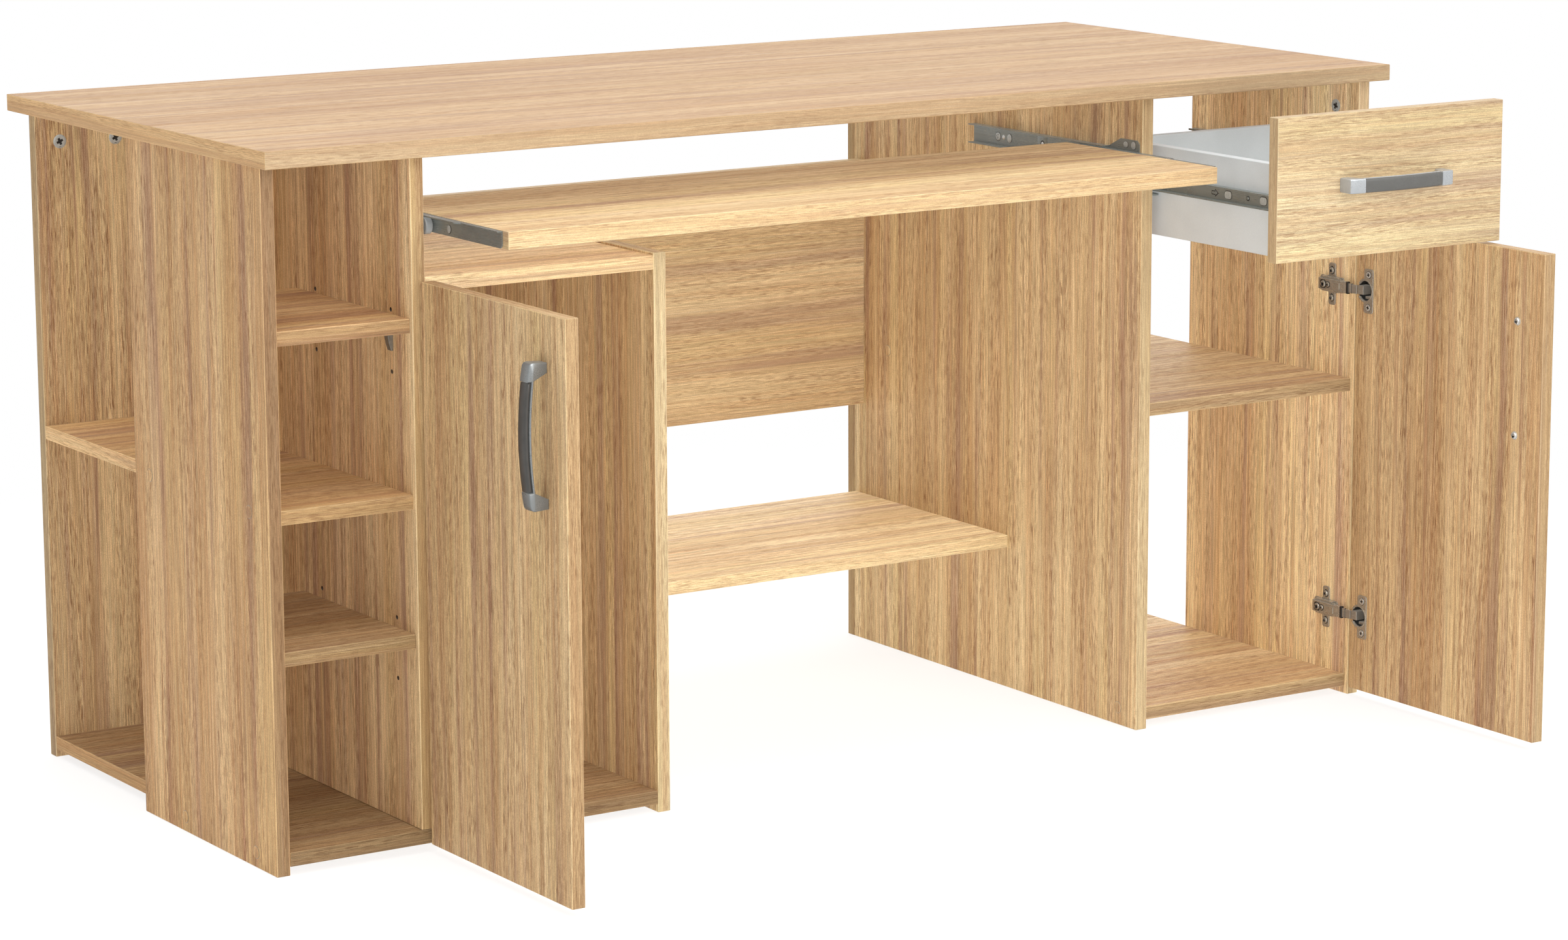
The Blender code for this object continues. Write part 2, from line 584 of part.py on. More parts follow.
def hinge(name, door, group, z, face, edge, inward, link_off):
    """Concealed hinge: a mounting plate and arm on the upright, and a cup with its link in the door."""
    def off(distance):
        return face + inward * distance

    def along(distance):
        return edge + inward * distance

    near = PLATE_SET_BACK - PLATE_L / 2
    far = PLATE_SET_BACK + PLATE_L / 2
    half = ARM_H / 2 + 1.5
    wing = WING_W / 2
    tip = PLATE_H / 2
    cross = [(PLATE_SET_BACK - wing, tip), (PLATE_SET_BACK + wing, tip), (PLATE_SET_BACK + wing, half),
             (far, half), (far, -half), (PLATE_SET_BACK + wing, -half), (PLATE_SET_BACK + wing, -tip),
             (PLATE_SET_BACK - wing, -tip), (PLATE_SET_BACK - wing, -half), (near, -half), (near, half),
             (PLATE_SET_BACK - wing, half)]
    cross = [(y, z + height) for y, height in rounded(cross, 2.5)]
    low, high = sorted((off(BUTT_GAP), off(BUTT_GAP + PLATE_THICK)))
    node(name + "_plate", plate([cross], low, high, "yzx"), "nickel", ROOT)

    seat = BUTT_GAP + PLATE_THICK + BUTT_GAP
    crown = max(link_off + LINK_THICK, seat + 7.2)
    side = [(far - 4, seat), (far - 4, seat + 6.0), (far - 10, crown), (18.0, crown)]
    side += [(4.0, link_off + LINK_THICK + 0.6), (2.0, link_off + LINK_THICK + 0.4)]
    side += [(2.0, link_off - 0.4), (16.0, link_off - 1.2), (near + 4, seat)]
    profile = [(y, off(distance)) for y, distance in side]
    arm_solid = plate([profile], z - ARM_H / 2, z + ARM_H / 2, "yxz")
    arm = node(name + "_arm", arm_solid, "nickel", ROOT, 0.8)
    link_x = sorted((off(link_off), off(link_off + LINK_THICK)))
    join(arm, [box(link_x, (-LINK_REACH, 8.0), (z - LINK_H / 2, z + LINK_H / 2))], ROOT)

    mouth = (along(CUP_IN), DOOR_IN_Y + 1.0, z)
    hole = rods([mouth], (0, -1, 0), CUP_R + BUTT_GAP, CUP_DEEP + BUTT_GAP + 1.0, 28)
    cut(door, [hole], group)
    inside = CUP_R - CUP_WALL
    wall = [(0.0, CUP_DEEP), (CUP_R, CUP_DEEP), (CUP_R, 0.2), (inside, 0.2),
            (inside, CUP_DEEP - CUP_WALL), (0.0, CUP_DEEP - CUP_WALL)]
    cup_solid = turned(wall, (along(CUP_IN), DOOR_IN_Y, z), (0, -1, 0), 28)
    cup = node(name + "_cup", cup_solid, "nickel", group)
    middle = (CUP_IN, 0.0)
    straight = FLANGE_H / 2
    collar = arc(middle, CUP_R - 0.2, -CUP_MOUTH_DEG, CUP_MOUTH_DEG, 22)
    collar += arc(middle, inside - 0.3, CUP_MOUTH_DEG, -CUP_MOUTH_DEG, 22)
    flange = arc(middle, CUP_RING_R, 99.0, CUP_MOUTH_DEG + 5.0, 5)
    flange += arc(middle, CUP_LIP_R, CUP_MOUTH_DEG, -CUP_MOUTH_DEG, 22)
    flange += arc(middle, CUP_RING_R, 355.0 - CUP_MOUTH_DEG, 261.0, 5)
    flange += [(FLANGE_NEAR, -straight), (FLANGE_FAR, -straight)]
    flange += [(FLANGE_FAR, straight), (FLANGE_NEAR, straight)]
    collar = [(along(distance), z + height) for distance, height in collar]
    flange = [(along(distance), z + height) for distance, height in flange]
    flange_low = DOOR_IN_Y + BUTT_GAP
    collar = plate([collar], DOOR_IN_Y - 1.0, flange_low + FLANGE_THICK / 2, "xzy")
    flange = plate([flange], flange_low, flange_low + FLANGE_THICK, "xzy")
    block_x = sorted((along(5.1), along(9.0)))
    block_y = (DOOR_IN_Y - CUP_DEEP + CUP_WALL / 2, DOOR_IN_Y + 0.8)
    block = box(block_x, block_y, (z - BLOCK_H / 2, z + BLOCK_H / 2))
    join(cup, [collar, flange, block], group)


for level, height in zip(("lower", "upper"), LEFT_HINGE_Z):
    hinge("left_hinge_" + level, left_door, LEFT_DOOR, height,
          DIVIDER_X + BOARD, LEFT_DOOR_X, 1.0, LEFT_LINK_OFF)
for level, height in zip(("lower", "upper"), RIGHT_HINGE_Z):
    hinge("right_hinge_" + level, right_door, RIGHT_DOOR, height,
          RIGHT_X, RIGHT_DOOR_X, -1.0, RIGHT_LINK_OFF)

# Drawer box and front
BOX_Y = (DOOR_IN_Y + BUTT_GAP, DOOR_IN_Y + BUTT_GAP + DRAWER_BOX_L)
BOX_Z = (DRAWER_BOX_Z, DRAWER_BOX_Z + DRAWER_BOX_H)
BASE_Z = (DRAWER_BOX_Z + DRAWER_BASE_UP, DRAWER_BOX_Z + DRAWER_BASE_UP + DRAWER_BASE_THICK)
GROOVE_Z = (BASE_Z[0] - BUTT_GAP, BASE_Z[1] + BUTT_GAP)
INSIDE_LEFT = DRAWER_LEFT + DRAWER_WALL
INSIDE_RIGHT = DRAWER_RIGHT - DRAWER_WALL
GROOVE_RUN = (BOX_Y[0] - 1.0, BOX_Y[1] + 1.0)
board("drawer_front", (RIGHT_DOOR_X - RIGHT_DOOR_W, RIGHT_DOOR_X), DOOR_Y,
      (DRAWER_FRONT_Z, DRAWER_FRONT_Z + DRAWER_FRONT_H), DRAWER)
side_left = board("drawer_side_left", (DRAWER_LEFT, INSIDE_LEFT), BOX_Y, BOX_Z, DRAWER, "grey_board")
side_right = board("drawer_side_right", (INSIDE_RIGHT, DRAWER_RIGHT), BOX_Y, BOX_Z, DRAWER, "grey_board")
cut(side_left, [box((INSIDE_LEFT - GROOVE_DEEP, INSIDE_LEFT + 1.0), GROOVE_RUN, GROOVE_Z)], DRAWER)
cut(side_right, [box((INSIDE_RIGHT - 1.0, INSIDE_RIGHT + GROOVE_DEEP), GROOVE_RUN, GROOVE_Z)], DRAWER)
board("drawer_back", between(INSIDE_LEFT, INSIDE_RIGHT), (BOX_Y[1] - DRAWER_WALL, BOX_Y[1]),
      (GROOVE_Z[1], BOX_Z[1]), DRAWER, "grey_board")
base_x = between(INSIDE_LEFT - GROOVE_DEEP, INSIDE_RIGHT + GROOVE_DEEP)
node("drawer_bottom", box(base_x, BOX_Y, BASE_Z), "grey_board", DRAWER)
handle("drawer", DRAWER, RIGHT_DOOR_X - RIGHT_DOOR_W / 2, DRAWER_HANDLE_Z, False)


def drawer_slide(name, face, inward):
    """Ball slide: an outer member on the upright, an inner member on the drawer and a ball cage."""
    def section(points, y):
        whole = list(points) + [(s, -z) for s, z in reversed(points)]
        return plate([[(face + inward * s, SLIDE_Z + z) for s, z in whole]], y[0], y[1], "xzy")

    reach = BUTT_GAP + OUTER_REACH
    tall = OUTER_H / 2
    sheet = SLIDE_SHEET
    outer = [(BUTT_GAP + sheet, tall - sheet), (reach - 1.0, tall - sheet)]
    outer += [(reach - 1.0, tall - sheet - 1.0), (reach, tall - sheet - 1.0)]
    outer += [(reach, tall), (BUTT_GAP, tall)]
    member = section(list(reversed(outer)), (2.0, 2.0 + SLIDE_L))
    node(name + "_outer", member, "zinc_steel", ROOT)

    back = DRAWER_SIDE_GAP - BUTT_GAP
    low = INNER_H / 2
    inner = [(back, low), (back - INNER_REACH, low)]
    inner += [(back - INNER_REACH, low - sheet), (back - sheet, low - sheet)]
    slider = node(name + "_inner", section(inner, (0.0, SLIDE_L)), "zinc_steel", DRAWER)
    start = face + inward * (back + 1.0)
    holes = []
    for distance, radius in INNER_HOLES:
        holes.append(rods([(start, distance, SLIDE_Z)], (-inward, 0, 0), radius, sheet + 2.0, 20))
    cut(slider, holes, DRAWER)

    race = (OUTER_H / 2 - sheet + INNER_H / 2) / 2
    strip = CAGE_SHEET / 2
    cage = [(3.0, race - strip), (8.6, race - strip), (8.6, race + strip), (2.2, race + strip)]
    first = CAGE_REST_Y + CAGE_OUT
    holder_solid = section(list(reversed(cage)), (first, first + CAGE_L))
    holder = node(name + "_cage", holder_solid, "zinc_steel", CAGES)
    places = []
    for index in range(BALLS_PER_ROW):
        ball_y = first + CAGE_L * (index + 0.5) / BALLS_PER_ROW
        places.append((face + inward * 6.2, ball_y, SLIDE_Z + race))
        places.append((face + inward * 6.2, ball_y, SLIDE_Z - race))
    join(holder, [balls(places, BALL_R)], CAGES)


drawer_slide("drawer_slide_left", CENTRE_X + BOARD, 1.0)
drawer_slide("drawer_slide_right", RIGHT_X, -1.0)

# Keyboard tray
board("keyboard_tray", (TRAY_LEFT, TRAY_RIGHT), (0.0, TRAY_DEPTH), (TRAY_Z, TRAY_Z + TRAY_THICK), TRAY)


def tray_slide(name, face, inward):
    """Roller slide: a channel on the upright with a front roller, and a runner with a rear roller."""
    def off(low, high):
        return sorted((face + inward * low, face + inward * high))

    sheet = RAIL_SHEET
    back = BUTT_GAP + sheet
    rail_end = RAIL_Y + RAIL_L
    rail_top = RAIL_Z + RAIL_H
    web = [(RAIL_Y, RAIL_Z + 4.0), (RAIL_Y, TAB_TOP_Z - 4.0), (RAIL_Y + 4.0, TAB_TOP_Z),
           (RAIL_Y + TAB_L, TAB_TOP_Z), (TAB_SLOPE_END, rail_top - 0.4), (rail_end, rail_top - 0.4),
           (rail_end, RAIL_Z + 0.4), (LOWER_FLANGE_Y - 4.0, RAIL_Z + 0.4)]
    holes = [arc((RAIL_SCREW_Y, RAIL_Z + RAIL_H / 2), 2.6, 0.0, 337.5, 15)]
    holes.append(arc((RAIL_HOLE_Y, RAIL_Z + RAIL_H / 2), 3.4, 0.0, 337.5, 15))
    for y in (RAIL_Y + 10.0, RAIL_Y + 24.0):
        holes.append([(y + 1.8 * a, b) for a, b in arc((0.0, TAB_TOP_Z - 6.0), 2.2, 0.0, 337.5, 15)])
    rail = node(name + "_rail", plate([web] + holes, *off(BUTT_GAP, back), "yzx"), "zinc_steel", ROOT)
    reach = BUTT_GAP + RAIL_REACH
    lower = box(off(BUTT_GAP + 0.4, reach), (LOWER_FLANGE_Y, rail_end - 0.5), (RAIL_Z, RAIL_Z + sheet))
    upper = box(off(BUTT_GAP + 0.4, reach), (TAB_SLOPE_END, rail_end - 0.5), (rail_top - sheet, rail_top))
    head = reach + 0.2
    stub = [(0.0, back - 0.6), (AXLE_R, back - 0.6), (AXLE_R, head - AXLE_HEAD_L)]
    stub += [(AXLE_HEAD_R, head - AXLE_HEAD_L), (AXLE_HEAD_R, head), (0.0, head)]
    axle = turned(stub, (face, FRONT_ROLLER_Y, FRONT_ROLLER_Z), (inward, 0, 0))
    join(rail, [lower, upper, axle], ROOT)

    bore = AXLE_R + BORE_GAP
    start = back + 0.5
    end = head - AXLE_HEAD_L - 0.3
    tread = [(bore, start), (FRONT_ROLLER_R - 0.8, start), (FRONT_ROLLER_R, start + 0.8),
             (FRONT_ROLLER_R, end - 0.8), (FRONT_ROLLER_R - 0.8, end), (bore, end)]
    node(name + "_front_roller", turned(tread, (face, FRONT_ROLLER_Y, FRONT_ROLLER_Z), (inward, 0, 0)),
         "roller", FRONT_ROLLERS)

    edge = TRAY_SIDE_GAP - BUTT_GAP
    flange_z = FRONT_ROLLER_Z + FRONT_ROLLER_R + ROLLER_GAP
    runner_web = [(RUNNER_FRONT, TRAY_Z + 3.0), (RUNNER_FRONT + 3.0, TRAY_Z), (TRAY_DEPTH, TRAY_Z),
                  (TRAY_DEPTH, flange_z + sheet - 0.3), (RUNNER_FRONT, flange_z + sheet - 0.3)]
    screw_hole = arc((RUNNER_FRONT + 106.0, TRAY_Z + 7.0), 2.6, 0.0, 337.5, 15)
    runner_solid = plate([runner_web, screw_hole], *off(edge - sheet, edge), "yzx")
    runner = node(name + "_runner", runner_solid, "zinc_steel", TRAY)
    narrow = face + inward * (edge - 6.0)
    wide = face + inward * (back + 0.7)
    rim = face + inward * (edge - 0.4)
    flange_end = REAR_ROLLER_Y - REAR_ROLLER_R - 4.0
    narrow_end = RUNNER_FRONT + RUNNER_NARROW_L
    flange = [(rim, RUNNER_FRONT + 0.4), (narrow, RUNNER_FRONT + 0.4), (narrow, narrow_end)]
    flange += [(wide, narrow_end + 8.0), (wide, flange_end), (rim, flange_end)]
    flange = plate([flange], flange_z, flange_z + sheet, "xyz")
    tail = back + 0.4
    pin = [(0.0, edge - sheet + 0.6), (AXLE_R, edge - sheet + 0.6), (AXLE_R, tail + AXLE_HEAD_L),
           (AXLE_HEAD_R, tail + AXLE_HEAD_L), (AXLE_HEAD_R, tail), (0.0, tail)]
    axle = turned(pin, (face, REAR_ROLLER_Y, REAR_ROLLER_Z), (inward, 0, 0))
    join(runner, [flange, axle], TRAY)

    start = tail + AXLE_HEAD_L + 0.3
    end = edge - sheet - 0.5
    tread = [(bore, start), (REAR_ROLLER_R - 0.8, start), (REAR_ROLLER_R, start + 0.8),
             (REAR_ROLLER_R, end - 0.8), (REAR_ROLLER_R - 0.8, end), (bore, end)]
    node(name + "_rear_roller", turned(tread, (face, REAR_ROLLER_Y, REAR_ROLLER_Z), (inward, 0, 0)),
         "roller", REAR_ROLLERS)


tray_slide("tray_slide_left", DIVIDER_X + BOARD, 1.0)
tray_slide("tray_slide_right", CENTRE_X, -1.0)
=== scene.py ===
import math

import bmesh
import bpy
from mathutils import Matrix, Vector
from mathutils.geometry import tessellate_polygon


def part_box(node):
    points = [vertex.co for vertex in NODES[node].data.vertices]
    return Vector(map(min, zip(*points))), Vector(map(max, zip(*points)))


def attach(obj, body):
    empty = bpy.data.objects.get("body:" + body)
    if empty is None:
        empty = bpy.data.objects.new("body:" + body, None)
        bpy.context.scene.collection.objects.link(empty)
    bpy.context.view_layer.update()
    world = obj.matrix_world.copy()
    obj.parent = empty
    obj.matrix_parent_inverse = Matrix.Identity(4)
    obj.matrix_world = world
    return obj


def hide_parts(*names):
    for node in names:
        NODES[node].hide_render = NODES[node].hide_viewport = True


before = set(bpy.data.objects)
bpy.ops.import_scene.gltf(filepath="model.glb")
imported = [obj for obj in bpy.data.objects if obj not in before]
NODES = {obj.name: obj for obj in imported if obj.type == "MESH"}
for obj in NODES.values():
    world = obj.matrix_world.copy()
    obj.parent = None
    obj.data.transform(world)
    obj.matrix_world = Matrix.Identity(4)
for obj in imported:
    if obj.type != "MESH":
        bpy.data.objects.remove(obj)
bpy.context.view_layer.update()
MM = 0.001
TO_MM = (1e3, 1e3, 1e3)
WHITE = (1.0, 1.0, 1.0, 1.0)


# Colours are given as they look on a screen
def tone(red, green, blue):
    values = []
    for level in (red, green, blue):
        share = level / 255.0
        values.append(share / 12.92 if share <= 0.04045 else ((share + 0.055) / 1.055) ** 2.4)
    return (*values, 1.0)


class Nodes:
    """Short ways to add nodes to one tree. A value may be a socket or a constant."""

    def __init__(self, tree):
        self.tree = tree

    def add(self, kind, inputs=None, **props):
        made = self.tree.nodes.new(kind)
        for key, value in props.items():
            setattr(made, key, value)
        for key, value in (inputs or {}).items():
            self.set(made.inputs[key], value)
        return made

    def set(self, socket, value):
        if isinstance(value, bpy.types.NodeSocket):
            self.tree.links.new(value, socket)
        else:
            socket.default_value = value

    def math(self, operation, first, second=0.0, clamp=False):
        made = self.add("ShaderNodeMath", {0: first, 1: second}, operation=operation, use_clamp=clamp)
        return made.outputs[0]

    def vector(self, operation, first, second):
        return self.add("ShaderNodeVectorMath", {0: first, 1: second}, operation=operation).outputs[0]

    def combine(self, x, y, z):
        return self.add("ShaderNodeCombineXYZ", {0: x, 1: y, 2: z}).outputs[0]

    def place(self):
        """Place on the part, in millimetres."""
        return self.vector("MULTIPLY", self.add("ShaderNodeTexCoord").outputs["Object"], TO_MM)

    def noise(self, place, lengths, detail=1.0, roughness=0.5):
        scaled = self.vector("MULTIPLY", place, tuple(1.0 / length for length in lengths))
        inputs = {"Vector": scaled, "Scale": 1.0, "Detail": detail, "Roughness": roughness}
        return self.add("ShaderNodeTexNoise", inputs).outputs["Fac"]

    def ease(self, value, low, high, to_low=0.0, to_high=1.0):
        inputs = {"Value": value, "From Min": low, "From Max": high, "To Min": to_low, "To Max": to_high}
        return self.add("ShaderNodeMapRange", inputs, interpolation_type="SMOOTHSTEP").outputs["Result"]

    def blend(self, share, first, second):
        made = self.add("ShaderNodeMix", data_type="RGBA")
        self.set(made.inputs[0], share)
        self.set(made.inputs[6], first)
        self.set(made.inputs[7], second)
        return made.outputs[2]

    def between(self, share, first, second):
        made = self.add("ShaderNodeMix", data_type="FLOAT")
        self.set(made.inputs[0], share)
        self.set(made.inputs[2], first)
        self.set(made.inputs[3], second)
        return made.outputs[0]

    def scaled(self, colour, factor):
        made = self.add("ShaderNodeVectorMath", {0: colour}, operation="SCALE")
        self.set(made.inputs["Scale"], factor)
        return made.outputs[0]

    def bump(self, height, strength, distance):
        inputs = {"Height": height, "Strength": strength, "Distance": distance}
        return self.add("ShaderNodeBump", inputs).outputs["Normal"]


def shader(name, **constants):
    """New material with one Principled shader, whose plain numbers are set on its own sockets."""
    made = bpy.data.materials.new(name)
    made.use_nodes = True
    made.node_tree.nodes.clear()
    nodes = Nodes(made.node_tree)
    surface = nodes.add("ShaderNodeBsdfPrincipled")
    for key, value in constants.items():
        surface.inputs[key.replace("_", " ")].default_value = value
    end = nodes.add("ShaderNodeOutputMaterial")
    made.node_tree.links.new(surface.outputs[0], end.inputs["Surface"])
    return made, nodes, surface.inputs


# Wood print of the boards
LIGHT_TAN = tone(223, 185, 137)
DEEP_TAN = tone(199, 158, 112)
OLIVE_TAN = tone(216, 179, 124)
RED_TAN = tone(182, 128, 85)
VIOLET = tone(148, 103, 86)
CREAM = tone(236, 202, 164)
PORE = tone(122, 72, 42)
BAND_TAN = tone(206, 167, 120)
# Lighter colour for the bevelled corners: a painted highlight
BEVEL_HIGHLIGHT = tone(236, 206, 158)
MEAN_TAN = tone(198, 158, 116)
WASH_GREEN, WASH_BLUE = 0.18, 0.36
PRINT_GREEN, PRINT_BLUE = 1.03, 1.03

# Noises of the print, by their lengths in millimetres along the grain, across it and through the board
GRAIN = {"sway": (330.0, 90.0, 90.0), "ripple": (75.0, 26.0, 26.0), "broad": (1500.0, 60.0, 60.0),
         "olive": (1300.0, 46.0, 46.0), "streak": (1000.0, 22.0, 22.0), "middle": (420.0, 5.0, 5.0),
         "fine": (190.0, 1.6, 1.6), "pores": (16.0, 0.6, 0.6), "crowd": (300.0, 12.0, 12.0),
         "lines": (130.0, 1.0, 1.0), "speck": (1.5, 0.7, 0.7)}
# How far the grain wanders, and steps that set noises of like lengths apart
SWAY_REACH, RIPPLE_REACH = 8.0, 0.6
OLIVE_STEP, STREAK_STEP, LINES_STEP = (300.0, 517.0, 91.0), (911.0, 233.0, 57.0), (77.0, 19.0, 5.0)
# How much of each colour shows where its noise is strongest
OLIVE_SHARE, RED_SHARE, VIOLET_SHARE, CREAM_SHARE, PORE_SHARE = 0.55, 0.46, 0.6, 0.34, 0.72
BAND_SHARE = 0.3


def print_group():
    """Node group with the printed grain. Its place is in millimetres: along the grain, across and deep."""
    group = bpy.data.node_groups.new("board_print", "ShaderNodeTree")
    for label, kind, way in (("Place", "Vector", "INPUT"), ("Edge", "Float", "INPUT"),
                             ("Corner", "Float", "INPUT"), ("Color", "Color", "OUTPUT"),
                             ("Height", "Float", "OUTPUT"), ("Roughness", "Float", "OUTPUT")):
        group.interface.new_socket(name=label, in_out=way, socket_type="NodeSocket" + kind)
    n = Nodes(group)
    given = n.add("NodeGroupInput").outputs
    place = given["Place"]
    sway = n.math("MULTIPLY", n.math("SUBTRACT", n.noise(place, GRAIN["sway"]), 0.5), SWAY_REACH)
    ripple = n.math("MULTIPLY", n.math("SUBTRACT", n.noise(place, GRAIN["ripple"]), 0.5), RIPPLE_REACH)
    drift = n.math("ADD", sway, ripple)
    flow = n.vector("ADD", place, n.combine(0.0, drift, drift))
    broad = n.noise(flow, GRAIN["broad"], 1.5)
    olive = n.noise(n.vector("ADD", flow, OLIVE_STEP), GRAIN["olive"])
    streak = n.noise(n.vector("ADD", flow, STREAK_STEP), GRAIN["streak"], 3.0, 0.6)
    middle = n.noise(flow, GRAIN["middle"], 3.0)
    fine = n.noise(flow, GRAIN["fine"], 2.0)
    pores = n.noise(flow, GRAIN["pores"])
    crowd = n.noise(flow, GRAIN["crowd"])
    lines = n.noise(n.vector("ADD", flow, LINES_STEP), GRAIN["lines"], 2.0, 0.6)
    speck = n.noise(place, GRAIN["speck"])
    colour = n.blend(n.ease(broad, 0.36, 0.64), LIGHT_TAN, DEEP_TAN)
    colour = n.blend(n.math("MULTIPLY", n.ease(olive, 0.52, 0.68), OLIVE_SHARE), colour, OLIVE_TAN)
    colour = n.blend(n.math("MULTIPLY", n.ease(middle, 0.42, 0.66), RED_SHARE), colour, RED_TAN)
    colour = n.blend(n.math("MULTIPLY", n.ease(streak, 0.51, 0.68), VIOLET_SHARE), colour, VIOLET)
    colour = n.blend(n.math("MULTIPLY", n.ease(fine, 0.52, 0.76), CREAM_SHARE), colour, CREAM)
    colour = n.scaled(colour, n.ease(lines, 0.28, 0.72, 0.70, 1.24))
    pore = n.math("MULTIPLY", n.ease(pores, 0.5, 0.62), n.ease(crowd, 0.34, 0.62, 0.35, 1.0))
    colour = n.blend(n.math("MULTIPLY", pore, PORE_SHARE), colour, PORE)
    colour = n.scaled(colour, n.ease(speck, 0.25, 0.75, 0.85, 1.15))
    colour = n.blend(n.math("MULTIPLY", given["Edge"], BAND_SHARE), colour, BAND_TAN)
    # Painted highlight along the bevelled corners
    colour = n.blend(n.math("MULTIPLY", given["Corner"], BAND_SHARE), colour, BEVEL_HIGHLIGHT)
    height = n.math("SUBTRACT", n.math("MULTIPLY", fine, 0.35), pore)
    rough = n.math("ADD", n.ease(middle, 0.3, 0.7, 0.50, 0.60), n.math("MULTIPLY", pore, 0.12))
    end = n.add("NodeGroupOutput")
    n.set(end.inputs["Color"], colour)
    n.set(end.inputs["Height"], height)
    n.set(end.inputs["Roughness"], rough)
    return group


PRINT = print_group()


def wood(name, along, across, thin, level, wash, edge_light_tint, end_light_tint, calm):
    """Board finish. The three axes say how the grain runs, which way it is wide and which way it is thin.

    Level is the brightness of the print and wash takes some of its red away; both are painted light and
    shade, set board by board so that the one print comes out lighter, darker or paler as each board is lit.
    The tints paint light and shade on the long edges and on the ends, and calm evens the print out."""
    made, n, sockets = shader(name, IOR=1.45, Specular_IOR_Level=0.15)
    place = n.add("ShaderNodeSeparateXYZ", {0: n.place()})
    normal = n.add("ShaderNodeTexCoord").outputs["Normal"]
    turn = n.add("ShaderNodeSeparateXYZ", {0: n.vector("ABSOLUTE", normal, (0.0, 0.0, 0.0))})
    end = n.ease(turn.outputs[along], 0.72, 0.8)
    u = n.between(end, place.outputs[along], place.outputs[across])
    v = n.between(end, place.outputs[across], place.outputs[thin])
    w = n.between(end, place.outputs[thin], place.outputs[along])
    edge = n.ease(turn.outputs[thin], 0.2, 0.5, 1.0, 0.0)
    # Mask of the bevelled corners, for their painted highlight
    widest = n.math("MAXIMUM", n.math("MAXIMUM", turn.outputs[0], turn.outputs[1]), turn.outputs[2])
    corner = n.ease(widest, 0.9, 0.985, 1.0, 0.0)
    printed = n.add("ShaderNodeGroup", node_tree=PRINT)
    n.set(printed.inputs["Place"], n.combine(u, v, w))
    n.set(printed.inputs["Edge"], edge)
    n.set(printed.inputs["Corner"], corner)
    # Painted light and shade: the board's level and wash scale the print
    shade = (level, level * (PRINT_GREEN + WASH_GREEN * wash), level * (PRINT_BLUE + WASH_BLUE * wash))
    colour = n.vector("MULTIPLY", n.blend(calm, printed.outputs["Color"], MEAN_TAN), shade)
    # Long edges and ends made lighter or darker: painted light and shade
    edges_painted_light = n.blend(end, n.blend(edge, WHITE, (*edge_light_tint, 1.0)), (*end_light_tint, 1.0))
    n.set(sockets["Base Color"], n.vector("MULTIPLY", colour, edges_painted_light))
    n.set(sockets["Roughness"], printed.outputs["Roughness"])
    n.set(sockets["Normal"], n.bump(printed.outputs["Height"], 0.35, 0.00012))
    return made


# Boards by the run of their grain: along, across and thin. Each board has its own level and wash of the
# print, painted light and shade that make lit and shaded copies of one print
X, Y, Z = 0, 1, 2
RUNS = {"upright": (Z, Y, X), "rear": (Z, X, Y), "level": (X, Y, Z), "front": (X, Z, Y)}
# Level and wash of each board, painted light and shade: darker boards stand in for shade, brighter and paler
# ones for light
BOARDS = {
    "upright": {"left_side_panel": (0.96, 0.0), "left_divider": (1.14, 0.75),
                "cabinet_inner_side": (1.12, 1.2), "centre_right_panel": (1.01, 0.85),
                "right_side_panel": (1.34, 1.05), "left_door": (0.93, 0.45), "right_door": (0.89, 0.42)},
    "rear": {"left_rear_panel": (0.98, 0.75), "right_rear_panel": (0.85, 0.5),
             "bookcase_back_upper": (0.95, 0.8), "bookcase_back_lower": (0.95, 0.8)},
    "level": {"desk_top": (0.66, 0.0), "left_bottom_board": (0.5, 0.0), "left_middle_shelf": (0.92, 0.1),
              "bookcase_shelf_upper": (0.88, 0.0), "bookcase_shelf_lower": (0.7, 0.2),
              "cabinet_top": (1.22, 0.9), "foot_shelf": (1.27, 1.25), "right_bottom_board": (0.93, 0.6),
              "right_middle_shelf": (0.84, 0.4), "keyboard_tray": (0.97, 0.8)},
    "front": {"modesty_panel": (1.12, 1.1), "drawer_front": (0.87, 1.15)},
}
# Painted light and shade on the edges: how much lighter or darker each board's long edges and ends are than
# its faces
EDGE_LIGHT_TINTS = {"desk_top": (1.1, 1.24, 1.48), "left_side_panel": (0.5, 0.5, 0.55),
              "left_divider": (0.6, 0.55, 0.48), "left_door": (0.64, 0.6, 0.57),
              "drawer_front": (0.92, 0.9, 0.9), "keyboard_tray": (1.0, 1.0, 1.0),
              "foot_shelf": (1.0, 1.0, 1.0), "cabinet_top": (1.0, 1.0, 1.0)}
END_LIGHT_TINTS = {"desk_top": (1.59, 1.6, 1.59), "left_middle_shelf": (1.3, 1.33, 1.33),
             "left_bottom_board": (1.7, 1.6, 1.45)}
PLAIN_EDGE_SHADE = (0.76, 0.76, 0.76)
CALM = {"desk_top": 0.35, "drawer_front": 0.26, "modesty_panel": 0.3, "keyboard_tray": 0.1, "foot_shelf": 0.1}
BOARD_WOOD = {}
for run, boards in BOARDS.items():
    for board, (level, wash) in boards.items():
        edge_light_tint = EDGE_LIGHT_TINTS.get(board, PLAIN_EDGE_SHADE)
        end_light_tint = END_LIGHT_TINTS.get(board, edge_light_tint)
        calm = CALM.get(board, 0.0)
        BOARD_WOOD[board] = wood("oak_" + board, *RUNS[run], level, wash, edge_light_tint, end_light_tint, calm)


